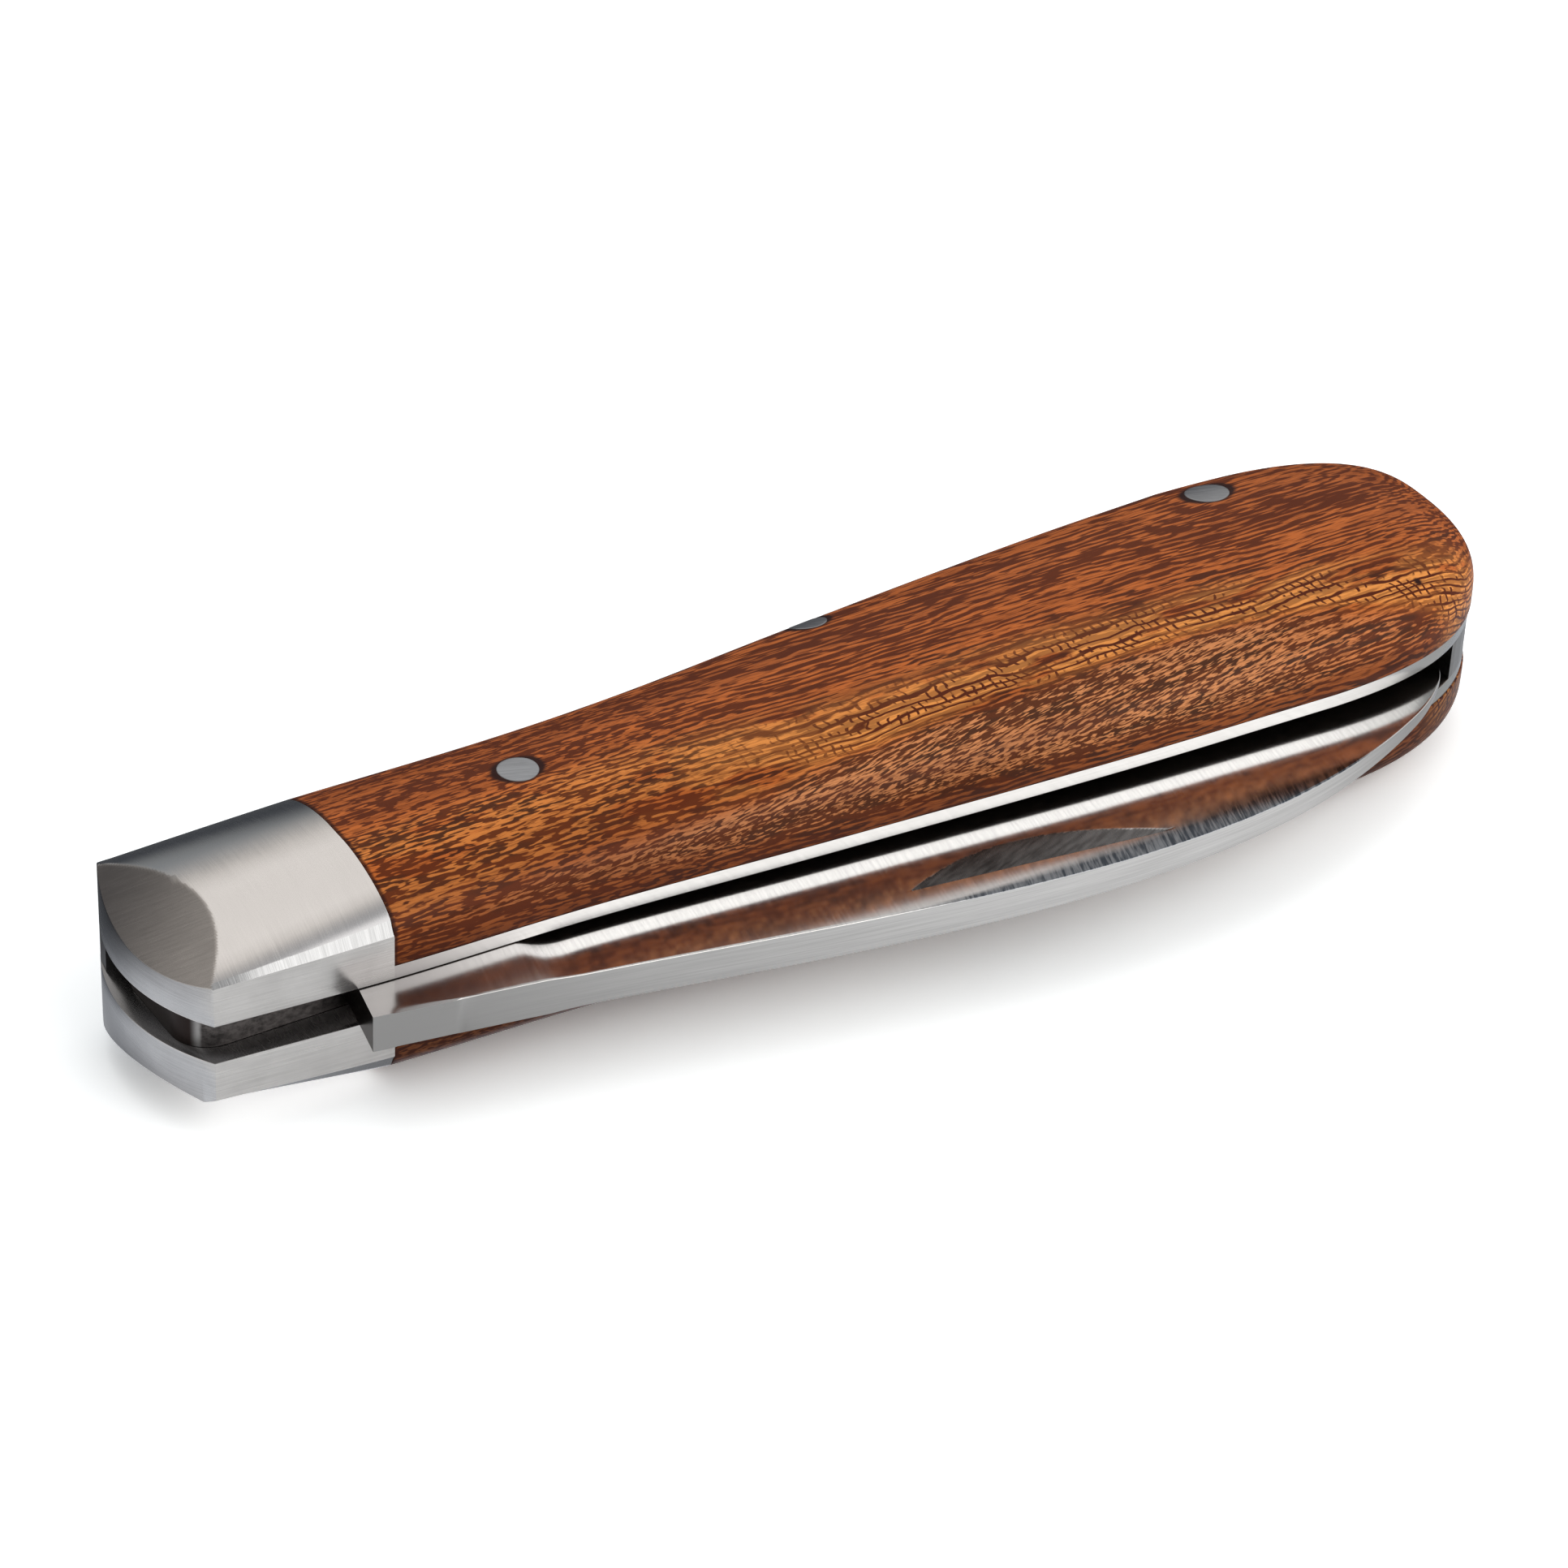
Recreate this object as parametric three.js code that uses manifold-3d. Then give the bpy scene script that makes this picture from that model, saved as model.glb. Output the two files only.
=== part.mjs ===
// A slip-joint jack knife, closed and lying flat on one cover.
// Millimetres, +Z up. X runs from the bolster end to the pommel, -Y is the open side
// where the blade's back stands out, and +Y is the spring side. Sizes are given from
// the front corner of the bolsters (x = 0), the handle's long axis (y = 0) and the
// middle of the blade (z = 0); the finished knife is then set down on its lower cover.

import * as THREE from "three";
import Module from "manifold-3d";
import { mergeVertices } from "three/addons/utils/BufferGeometryUtils.js";

// Handle seen from above: half widths on the front (blade) and back (spring) side
const handleEnd = 99.7; // from the front corner to the end of the pommel
const pommelLength = 17.7; // from the widest place to that end
const cornerFront = 6.5;
const cornerBack = 8.05;
const waistAt = 26;
const waistFront = 7.95;
const waistBack = 7.5;
const swellFront = 11.3;
const swellBack = 11.25;
const pommelLean = 2.2; // how far the pommel's end lies off the axis, to the back
const pommelFront = 2.5; // squareness of its two sides; 2 would be an ellipse
const pommelBack = 2.65;
const endRadius = 13.2; // the bolsters' convex end
const endLean = 1.3; // how far its middle lies off the axis
const backCornerRadius = 1.5;

// Layers, from the middle outwards
const springThickness = 2.8; // sets the slot between the liners
const linerThickness = 1.0;

// Covers: an upright wall on the liner, then a dome up to a flat crown
const bolsterLength = 12;
const wallAtEnd = 4.3; // height of the wall's top, from the middle of the blade
const wallAtJoint = 4.7;
const wallAtPommel = 3.1;
const crownAtEnd = 6.8; // height of the crown
const crownAtJoint = 7.9;
const crownShiftAtEnd = 1.1; // how far the crown lies off the middle, to the back
const crownLandAtEnd = 0.6; // width of the flat along the crown
const crownLand = 2.0;
const archAtJoint = 1.75; // squareness of the dome: 2 is an ellipse
const archAtSwell = 2.6;
const archAtPommel = 2.9;
const bevelAtEnd = 0.36; // width of the bevel over the bolster's wall
const bevelAtJoint = 0.5;
const pommelBelly = 0.15; // how far the wood stands out over the liner at the pommel

// Facet ground across the bolsters' ends; the lower one is ground a little less
const facetAtCorner = 4.4; // its height at the front corner
const lowerFacetAtCorner = 4.9;
const facetRise = 0.64; // how steeply it rises along X and along Y
const facetTilt = 0.19;

// Tang: a square round the pivot, with the spring on one of its flats
const pivotAt = 4.0;
const pivotRadius = 1.75;
const pivotCover = 1.5; // metal left over the hidden ends of the pivot pin
const tangReach = 5.1; // from the pivot to each flat
const tangCorner = 2.6;
const kickLength = 1.4; // how far the flat on the spring runs on past the square
const kickRamp = 1.8;

// Blade, in its closed place
const shoulderAt = 10.0; // foot of the step between the tang and the blade's back
const shoulderLean = 1.0;
const shoulderOut = 10.2; // how far the back stands off the axis at the step
const humpOut = 18.75; // how far it stands off the axis where it stands out most
const humpToPoint = 31.6; // from there to the point
const pointInset = 6.1; // from the point to the pommel's end
const pointOut = 7.8;
const heelAt = 19.8; // where the cutting edge starts
const heelIn = 1.9;
const ricassoIn = 2.4; // the blunt stretch between the kick and the edge
const edgeBelly = 1.2;
const plungeAt = 23.6; // where the flat grind is at full depth
const plungeLength = 3.0; // from the blunt stretch down to it
const spineAtPlunge = 2.45; // thickness of the back where the plunge ends
const spineAtHump = 2.1;
const edgeThickness = 0.1;

// Nail nick: a straight steep side along the back and a floor that rises from it
const nickLength = 18.7;
const nickWidth = 2.8;
const nickDepth = 0.4;
const nickBeforeHump = 7.15; // from the middle of the nick to the hump
const nickBelowBack = 1.6;
const nickLean = 0.6; // how much further below it the nick's front end lies

// Spring between the middle pin and its free end, and the filled pommel
const springWaistAt = 27;
const springWaist = 2.4; // thickness where it bends
const springAtPin = 4.4; // depth at the middle pin
const springDepthAtEnd = 11.5; // depth where the pommel's filling starts
const cavityFillet = 3.0;

// Pins through the handle
const rivetRadius = 1.4;
const rivetToBolster = 13.3;
const rivetOff = 0.7;
const middlePinRadius = 1.3;
const middlePinAt = 51.5;
const middlePinInset = 1.65; // from the back edge
const endPinRadius = 1.6;
const endPinToPommel = 15.5;
const endPinInset = 3.65;

// Clearances
const pinPlay = 0.05; // round every pin
const bladePlay = 0.05; // between the blade and each liner
const springPlay = 0.03; // between the spring and the tang's flat
const shoulderPlay = 0.25; // from the opened blade's shoulder to the spring's end
const pointPlay = 0.3; // from the point's path to the filled pommel

// How finely curves are divided
const gripSteps = 20;
const pommelSteps = 16;
const domeSteps = 8;
const bladeSteps = 28;
const roundSides = 32;
const arcSteps = 6;

const slotHalf = springThickness / 2;
const coverFoot = slotHalf + linerThickness;
const bladeHalf = slotHalf - bladePlay;
const swellAt = handleEnd - pommelLength;
const turnAt = handleEnd - (swellFront + swellBack) / 2; // middle of the pommel's round
const pointAt = handleEnd - pointInset;
const humpAt = pointAt - humpToPoint;
const beyond = handleEnd; // far enough out to cut right through

const wasm = await Module();
wasm.setup();

const mix = (a, b, t) => a + (b - a) * t;
const share = (x, from, to) => Math.min(1, Math.max(0, (x - from) / (to - from)));

// Solids
// Turns a closed geometry into a solid that can be cut
function toSolid(geometry) {
  const bare = geometry.clone();
  bare.deleteAttribute("normal");
  bare.deleteAttribute("uv");
  const merged = mergeVertices(bare, 1e-5);
  const index = merged.index.array;
  const triVerts = [];
  for (let i = 0; i < index.length; i += 3) {
    const [a, b, c] = [index[i], index[i + 1], index[i + 2]];
    if (a !== b && b !== c && c !== a) triVerts.push(a, b, c);
  }
  const vertProperties = new Float32Array(merged.attributes.position.array);
  return new wasm.Manifold(
    new wasm.Mesh({ numProp: 3, vertProperties, triVerts: new Uint32Array(triVerts) }),
  );
}

// Turns a solid back into a geometry
function toGeometry(solid) {
  const mesh = solid.getMesh();
  const geometry = new THREE.BufferGeometry();
  const position = new THREE.Float32BufferAttribute(mesh.vertProperties, 3);
  geometry.setAttribute("position", position);
  geometry.setIndex(Array.from(mesh.triVerts));
  geometry.computeVertexNormals();
  return geometry;
}

// The same piece on the other side of the blade
function mirrored(geometry) {
  const copy = geometry.clone().scale(1, 1, -1);
  const index = copy.index.array;
  for (let i = 0; i < index.length; i += 3) {
    [index[i], index[i + 2]] = [index[i + 2], index[i]];
  }
  copy.computeVertexNormals();
  return copy;
}

// An upright prism over a plan
function prism(plan, low, high) {
  const settings = { depth: high - low, bevelEnabled: false, curveSegments: arcSteps };
  return toSolid(new THREE.ExtrudeGeometry(plan, settings).translate(0, 0, low));
}

// An upright round bar
function bar([x, y], radius, low, high) {
  const geometry = new THREE.CylinderGeometry(radius, radius, high - low, roundSides);
  return toSolid(geometry.rotateX(Math.PI / 2).translate(x, y, (low + high) / 2));
}

// Joins sections with equally many points into a closed body
function loft(sections) {
  const count = sections[0].length;
  const faces = [];
  for (let k = 0; k + 1 < sections.length; k += 1) {
    const [near, far] = [sections[k], sections[k + 1]];
    for (let i = 0; i < count; i += 1) {
      const j = (i + 1) % count;
      faces.push(near[i], far[j], near[j], near[i], far[i], far[j]);
    }
  }
  const [first, last] = [sections[0], sections[sections.length - 1]];
  for (let i = 0; i < Math.floor(count / 2); i += 1) {
    const j = count - 1 - i;
    faces.push(first[i], first[i + 1], first[j], first[i + 1], first[j - 1], first[j]);
    faces.push(last[i], last[j], last[i + 1], last[i + 1], last[j], last[j - 1]);
  }
  return toSolid(new THREE.BufferGeometry().setFromPoints(faces));
}

// A smooth curve y(x) through a few stations
function through(stations) {
  const slopes = stations.map((_, i) => {
    const a = stations[Math.max(0, i - 1)];
    const b = stations[Math.min(stations.length - 1, i + 1)];
    return (b[1] - a[1]) / (b[0] - a[0]);
  });
  return (x) => {
    const after = stations.findIndex(([at]) => at >= x);
    const i = after < 0 ? stations.length - 2 : Math.max(0, after - 1);
    const [[x0, y0], [x1, y1]] = [stations[i], stations[i + 1]];
    const t = share(x, x0, x1);
    const lean = (1 - t) * slopes[i] - t * slopes[i + 1];
    return mix(y0, y1, t * t * (3 - 2 * t)) + (x1 - x0) * t * (1 - t) * lean;
  };
}

// Handle seen from above: nearly straight at the bolster, waisted at the front of
// the wood, then swelling to the pommel
const gripFront = through([
  [0, cornerFront],
  [bolsterLength, mix(cornerFront, waistFront, 0.66)],
  [waistAt, waistFront],
  [mix(waistAt, swellAt, 0.3), mix(waistFront, swellFront, 0.37)],
  [mix(waistAt, swellAt, 0.7), mix(waistFront, swellFront, 0.81)],
  [swellAt, swellFront],
]);
const gripBack = through([
  [0, cornerBack],
  [bolsterLength, mix(cornerBack, waistBack, 0.3)],
  [waistAt, waistBack],
  [mix(waistAt, swellAt, 0.18), mix(waistBack, swellBack, 0.09)],
  [mix(waistAt, swellAt, 0.42), mix(waistBack, swellBack, 0.43)],
  [mix(waistAt, swellAt, 0.62), mix(waistBack, swellBack, 0.69)],
  [mix(waistAt, swellAt, 0.82), mix(waistBack, swellBack, 0.895)],
  [swellAt, swellBack],
]);

// Half width of the rounded pommel, measured from the line of its end
function pommelWidth(x, swell, power) {
  return swell * (1 - share(x, swellAt, handleEnd) ** power) ** (1 / power);
}

function frontAt(x) {
  if (x < swellAt) return gripFront(x);
  return pommelWidth(x, swellFront + pommelLean, pommelFront) - pommelLean;
}

function backAt(x) {
  if (x < swellAt) return gripBack(x);
  return pommelWidth(x, swellBack - pommelLean, pommelBack) + pommelLean;
}

// Stations along the bolster, and along the wood with its pommel
const bolsterStations = [0, 1 / 6, 1 / 3, 2 / 3, 1].map((t) => t * bolsterLength);
const woodStations = [];
for (let i = 0; i < gripSteps; i += 1) {
  woodStations.push(mix(bolsterLength, swellAt, i / gripSteps));
}
for (let i = 0; i <= pommelSteps; i += 1) {
  const turn = Math.sin((i / pommelSteps) * (Math.PI / 2)) ** (2 / pommelFront);
  woodStations.push(mix(swellAt, handleEnd, turn));
}

// Draws the bolsters' convex end: a wide arc that starts this far in front of the
// axis and runs into the rounded back corner
function drawEnd(plan, startFront) {
  const middle = Math.sqrt(endRadius ** 2 - (cornerFront + endLean) ** 2);
  const rise = cornerBack - backCornerRadius - endLean;
  const cornerX = middle - Math.sqrt((endRadius - backCornerRadius) ** 2 - rise ** 2);
  const first = Math.PI + Math.asin((startFront + endLean) / endRadius);
  const turn = Math.atan2(rise, cornerX - middle);
  plan.absarc(middle, endLean, endRadius, first, turn, true);
  plan.absarc(cornerX, cornerBack - backCornerRadius, backCornerRadius, turn, Math.PI / 2, true);
}

// The whole handle's outline
function handlePlan() {
  const plan = new THREE.Shape();
  drawEnd(plan, cornerFront);
  const along = [...bolsterStations.slice(1), ...woodStations.slice(1)];
  for (const x of along) plan.lineTo(x, backAt(x));
  for (const x of along.reverse().slice(1)) plan.lineTo(x, -frontAt(x));
  return plan;
}

// Covers
// A size that changes evenly along the bolster and stays the same along the wood
const alongBolster = (atEnd, atJoint) => (x) => mix(atEnd, atJoint, share(x, 0, bolsterLength));
const crownAt = alongBolster(crownAtEnd, crownAtJoint);
const bevelAt = alongBolster(bevelAtEnd, bevelAtJoint);
const landAt = alongBolster(crownLandAtEnd, crownLand);
const crownShift = alongBolster(crownShiftAtEnd, 0);

// The wall is lower again round the pommel
function wallAt(x) {
  if (x > swellAt) return mix(wallAtJoint, wallAtPommel, share(x, swellAt, handleEnd));
  return mix(wallAtEnd, wallAtJoint, share(x, 0, bolsterLength));
}

function archAt(x) {
  if (x > swellAt) return mix(archAtSwell, archAtPommel, share(x, swellAt, handleEnd));
  return mix(archAtJoint, archAtSwell, share(x, bolsterLength, swellAt));
}

// Height of the dome at a share of the way in from the wall (0) to the crown (1). At
// the bolster's end its back side is an ellipse, its front side a parabola.
function domeAt(x, side, inward) {
  const along = share(x, 0, bolsterLength);
  const inner = mix(2, archAt(x), along);
  const outer = mix(side < 0 ? 1 : 2, archAt(x), along);
  const rise = (1 - (1 - Math.min(1, inward)) ** inner) ** (1 / outer);
  return mix(wallAt(x), crownAt(x), rise);
}

// Line of the crown: along the middle of the handle, a little to the back at its end
function crownLine(x) {
  return (backAt(x) - frontAt(x)) / 2 + crownShift(x);
}

// One side of a cover's section at a station: the foot on the liner, the wall and the
// dome up to the crown. Behind the middle of the pommel's round the sections turn
// about that middle. A bolster's bevel is flat, the wood has a full round instead.
function coverSide(x, side, bevelled) {
  const spineAt = Math.min(x, turnAt);
  const spine = new THREE.Vector2(spineAt, crownLine(spineAt));
  const foot = new THREE.Vector2(x, side < 0 ? -frontAt(x) : backAt(x));
  const inward = spine.clone().sub(foot);
  const reach = inward.length() - landAt(x) / 2;
  const belly = pommelBelly * share(x, swellAt, handleEnd);
  inward.normalize();
  const place = (step, z) => {
    const spot = foot.clone().addScaledVector(inward, step);
    return new THREE.Vector3(spot.x, spot.y, z);
  };
  const bevel = bevelAt(x) / reach;
  const bevelTop = domeAt(x, side, bevel);
  const points = [place(0, coverFoot), place(-belly, wallAt(x))];
  const middle = bevelled ? (wallAt(x) + bevelTop) / 2 : domeAt(x, side, bevel / 2);
  points.push(place(mix(-belly, reach, bevel / 2), middle));
  for (let i = 0; i <= domeSteps; i += 1) {
    const way = mix(bevel, 1, (i / domeSteps) ** 1.5);
    points.push(place(mix(-belly, reach, way), domeAt(x, side, way)));
  }
  return points;
}

function coverForm(stations, bevelled) {
  const sections = stations.map((x) => {
    const back = coverSide(x, 1, bevelled);
    return [...coverSide(x, -1, bevelled), ...back.reverse()];
  });
  return loft(sections);
}

// Everything above the facet across the bolster's end
function aboveFacet(cornerHeight) {
  const normal = new THREE.Vector3(-facetRise, -facetTilt, 1).normalize();
  const up = new THREE.Vector3(0, 0, 1);
  const box = new THREE.BoxGeometry(beyond, beyond, beyond).translate(0, 0, beyond / 2);
  box.applyQuaternion(new THREE.Quaternion().setFromUnitVectors(up, normal));
  return toSolid(box.translate(0, -cornerFront, cornerHeight));
}

// Everything behind the convex end
function behindEnd() {
  const plan = new THREE.Shape();
  drawEnd(plan, 1.2 * cornerFront);
  plan.lineTo(0, beyond);
  plan.lineTo(beyond, beyond);
  plan.lineTo(beyond, -beyond);
  plan.lineTo(bolsterLength, -beyond);
  return prism(plan, 0, beyond);
}

// Where the pins stand
const pivot = [pivotAt, 0];
const rivet = [bolsterLength + rivetToBolster, rivetOff];
const middlePin = [middlePinAt, backAt(middlePinAt) - middlePinInset];
const endPinAt = handleEnd - endPinToPommel;
const endPin = [endPinAt, backAt(endPinAt) - endPinInset];

function hole(spot, radius, low, high) {
  return bar(spot, radius + pinPlay, low, high);
}

// Height of the wood over a point of the plan, ahead of the pommel's round
function woodAt(x, y) {
  const reach = (backAt(x) + frontAt(x) - crownLand) / 2;
  const fromEdge = reach + crownLand / 2 - Math.abs(y - crownLine(x));
  return domeAt(x, Math.sign(y - crownLine(x)), fromEdge / reach);
}

// A pin whose ends are dressed to the curve of the covers, or a short rivet that
// starts at the given height
function dressedPin([x, y], radius, low) {
  const geometry = new THREE.CylinderGeometry(radius, radius, 1, roundSides);
  geometry.rotateX(Math.PI / 2).translate(x, y, 0);
  const place = geometry.attributes.position;
  for (let i = 0; i < place.count; i += 1) {
    const top = woodAt(place.getX(i), place.getY(i));
    place.setZ(i, place.getZ(i) > 0 ? top : Math.max(low, -top));
  }
  return toSolid(geometry);
}

function makeBolster(facetHeight) {
  const stations = [-endRadius / 2, ...bolsterStations];
  const pivotEnd = crownAt(pivotAt) - pivotCover;
  return coverForm(stations, true)
    .intersect(behindEnd())
    .subtract(aboveFacet(facetHeight))
    .subtract(hole(pivot, pivotRadius, 0, pivotEnd + pinPlay));
}

function makeWood() {
  return coverForm(woodStations, false)
    .subtract(hole(rivet, rivetRadius, 0, beyond))
    .subtract(hole(middlePin, middlePinRadius, 0, beyond))
    .subtract(hole(endPin, endPinRadius, 0, beyond));
}

function makeLiner() {
  return prism(handlePlan(), slotHalf, coverFoot)
    .subtract(hole(pivot, pivotRadius, 0, beyond))
    .subtract(hole(rivet, rivetRadius, 0, beyond))
    .subtract(hole(middlePin, middlePinRadius, 0, beyond))
    .subtract(hole(endPin, endPinRadius, 0, beyond));
}

// Spring: fills the slot behind the tang, thins where it bends, deepens round the
// middle pin and closes the pommel. Its end stops at the opened blade's shoulder.
function bladeSpace() {
  const tangBack = tangReach + springPlay;
  const rise = (shoulderOut - tangReach) / shoulderLean;
  const endX = 2 * pivotAt - shoulderAt + shoulderPlay;
  const kickEnd = pivotAt + tangReach + kickLength;
  const clear = Math.hypot(pointAt - pivotAt, pointOut) + pointPlay;
  const deepAt = pivotAt + clear - cavityFillet;
  const deep = backAt(deepAt) - springDepthAtEnd;
  const turn = Math.asin((deep - cavityFillet) / clear);
  const plan = new THREE.Shape();
  plan.moveTo(-beyond, -beyond);
  plan.lineTo(-beyond, beyond);
  plan.lineTo(endX + (beyond - tangReach) / rise, beyond);
  plan.lineTo(endX, tangBack);
  plan.lineTo(kickEnd, tangBack);
  plan.splineThru([
    new THREE.Vector2(springWaistAt, backAt(springWaistAt) - springWaist),
    new THREE.Vector2(middlePinAt, backAt(middlePinAt) - springAtPin),
    new THREE.Vector2(mix(middlePinAt, deepAt, 0.5), mix(backAt(middlePinAt) - springAtPin, deep, 0.35)),
    new THREE.Vector2(deepAt, deep),
  ]);
  plan.quadraticCurveTo(
    pivotAt + clear,
    deep,
    pivotAt + clear * Math.cos(turn),
    clear * Math.sin(turn),
  );
  plan.absarc(pivotAt, 0, clear, turn, -Math.PI / 6, true);
  plan.lineTo(beyond, -beyond);
  return prism(plan, -beyond, beyond);
}

function makeSpring() {
  return prism(handlePlan(), -slotHalf, slotHalf)
    .subtract(bladeSpace())
    .subtract(hole(middlePin, middlePinRadius, -beyond, beyond))
    .subtract(hole(endPin, endPinRadius, -beyond, beyond));
}

// Blade
// How far the back stands off the axis: a long rise to the hump, then down to the
// point in a fuller and fuller curve
const bladeBack = through([
  [shoulderAt - shoulderLean, shoulderOut],
  [mix(shoulderAt, humpAt, 0.24), mix(shoulderOut, humpOut, 0.27)],
  [mix(shoulderAt, humpAt, 0.6), mix(shoulderOut, humpOut, 0.71)],
  [mix(shoulderAt, humpAt, 0.82), mix(shoulderOut, humpOut, 0.92)],
  [humpAt, humpOut],
  [mix(humpAt, pointAt, 0.3), mix(pointOut, humpOut, 0.965)],
  [mix(humpAt, pointAt, 0.55), mix(pointOut, humpOut, 0.82)],
  [mix(humpAt, pointAt, 0.8), mix(pointOut, humpOut, 0.54)],
  [mix(humpAt, pointAt, 0.93), mix(pointOut, humpOut, 0.28)],
  [pointAt, pointOut],
]);

// The cutting edge, from the heel to the point
function edgeAt(x) {
  const t = share(x, heelAt, pointAt);
  return mix(heelIn, -pointOut, t) + 4 * edgeBelly * t * (1 - t) * (0.4 + t) / 1.4;
}

function bladePlan() {
  const plan = new THREE.Shape();
  const [left, right] = [pivotAt - tangReach, pivotAt + tangReach];
  const round = tangReach - tangCorner;
  plan.moveTo(left + tangCorner, -tangReach);
  plan.lineTo(shoulderAt, -tangReach);
  for (let i = 0; i < bladeSteps; i += 1) {
    const x = mix(shoulderAt - shoulderLean, pointAt, Math.sin((i / bladeSteps) * (Math.PI / 2)));
    plan.lineTo(x, -bladeBack(x));
  }
  for (let i = 0; i <= bladeSteps / 2; i += 1) {
    const x = mix(pointAt, heelAt, (2 * i) / bladeSteps);
    plan.lineTo(x, edgeAt(x));
  }
  plan.lineTo(right + kickLength + kickRamp, ricassoIn);
  plan.quadraticCurveTo(right + kickLength + kickRamp / 2, ricassoIn, right + kickLength, tangReach);
  plan.absarc(pivotAt - round, round, tangCorner, Math.PI / 2, Math.PI, false);
  plan.absarc(pivotAt - round, -round, tangCorner, Math.PI, 1.5 * Math.PI, false);
  return plan;
}

// Half thickness of the flat grind: a wedge that thins towards the edge, and towards
// the hump as the back does
function grindHalf(x, y) {
  const height = (at) => bladeBack(at) + edgeAt(at);
  const wedge = (at, thickness) => (thickness - edgeThickness) / 2 / height(at);
  const taper = share(x, plungeAt, humpAt);
  const slope = mix(wedge(plungeAt, spineAtPlunge), wedge(humpAt, spineAtHump), taper);
  return edgeThickness / 2 + slope * Math.max(0, edgeAt(x) - y);
}

// The wedge that the grind leaves, full behind the plunge
function grindForm() {
  const margin = tangReach;
  const section = (x, halfAt) => {
    const ys = [-bladeBack(x) - margin, edgeAt(x), edgeAt(x) + margin];
    const upper = ys.map((y) => new THREE.Vector3(x, y, halfAt(x, y)));
    const lower = ys.map((y) => new THREE.Vector3(x, y, -halfAt(x, y)));
    return [...upper, ...lower.reverse()];
  };
  const full = () => slotHalf;
  const sections = [
    section(pivotAt - 2 * tangReach, full),
    section(plungeAt - plungeLength, full),
  ];
  for (let i = 0; i <= bladeSteps; i += 1) {
    sections.push(section(mix(plungeAt, pointAt + margin, i / bladeSteps), grindHalf));
  }
  return loft(sections);
}

// The nail nick's cutter, laid on the ground face along the back
function nickForm() {
  const middle = humpAt - nickBeforeHump;
  const lift = nickDepth / 2;
  const sections = [];
  for (let i = 0; i <= bladeSteps; i += 1) {
    const t = (2 * i) / bladeSteps - 1;
    const x = middle + (t * nickLength) / 2;
    const chord = mix(
      nickLean - bladeBack(middle - nickLength / 2),
      -bladeBack(middle + nickLength / 2),
      i / bladeSteps,
    );
    const deep = nickDepth * (1 - t * t);
    const wide = ((deep + lift) * nickWidth) / nickDepth;
    const y = chord + nickBelowBack;
    sections.push([
      new THREE.Vector3(x, y, grindHalf(x, y) - deep),
      new THREE.Vector3(x, y, grindHalf(x, y) + lift),
      new THREE.Vector3(x, y + wide, grindHalf(x, y + wide) + lift),
    ]);
  }
  return loft(sections);
}

function makeBlade() {
  return prism(bladePlan(), -bladeHalf, bladeHalf)
    .intersect(grindForm())
    .subtract(nickForm())
    .subtract(hole(pivot, pivotRadius, -beyond, beyond));
}

// Finishes
const finishes = {
  bolster: { color: 0xc4c2c0, roughness: 0.34, metalness: 1 },
  liner: { color: 0xd9dade, roughness: 0.3, metalness: 1 },
  wood: { color: 0x9c4e22, roughness: 0.42, metalness: 0 },
  pin: { color: 0x9a9a98, roughness: 0.38, metalness: 1 },
  spring: { color: 0x8d8c8c, roughness: 0.36, metalness: 1 },
  blade: { color: 0xb4b4b6, roughness: 0.2, metalness: 1 },
};

function piece(name, geometry, finish) {
  const mesh = new THREE.Mesh(geometry, new THREE.MeshStandardMaterial(finishes[finish]));
  mesh.name = name;
  return mesh;
}

// The same piece above and below the blade
function pair(name, solid, finish) {
  const upper = toGeometry(solid);
  return [piece(`upper_${name}`, upper, finish), piece(`lower_${name}`, mirrored(upper), finish)];
}

const pivotHalf = crownAt(pivotAt) - pivotCover;
const handle = new THREE.Group();
handle.add(
  ...pair("liner", makeLiner(), "liner"),
  piece("upper_bolster", toGeometry(makeBolster(facetAtCorner)), "bolster"),
  piece("lower_bolster", mirrored(toGeometry(makeBolster(lowerFacetAtCorner))), "bolster"),
  ...pair("wood_cover", makeWood(), "wood"),
  ...pair("front_rivet", dressedPin(rivet, rivetRadius, slotHalf), "pin"),
  piece("backspring", toGeometry(makeSpring()), "spring"),
  piece("pivot_pin", toGeometry(bar(pivot, pivotRadius, -pivotHalf, pivotHalf)), "pin"),
  piece("middle_pin", toGeometry(dressedPin(middlePin, middlePinRadius, -beyond)), "pin"),
  piece("end_pin", toGeometry(dressedPin(endPin, endPinRadius, -beyond)), "pin"),
);

// The blade turns about the pivot
const blade = new THREE.Group();
blade.position.set(pivotAt, 0, 0);
blade.add(piece("blade", toGeometry(makeBlade()).translate(-pivotAt, 0, 0), "blade"));

// The origin lies below the middle of the closed knife
const knife = new THREE.Group();
knife.add(handle, blade);
const box = new THREE.Box3().setFromObject(knife, true);
const centre = box.getCenter(new THREE.Vector3());
knife.position.set(-centre.x, -centre.y, -box.min.z);

const root = new THREE.Group();
root.add(knife);

export default root;
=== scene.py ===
"""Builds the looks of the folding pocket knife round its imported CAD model."""

import math
from types import SimpleNamespace

import bmesh
import bpy
import numpy as np
from bpy.props import FloatProperty, FloatVectorProperty, PointerProperty
from mathutils import Matrix, Vector


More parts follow.
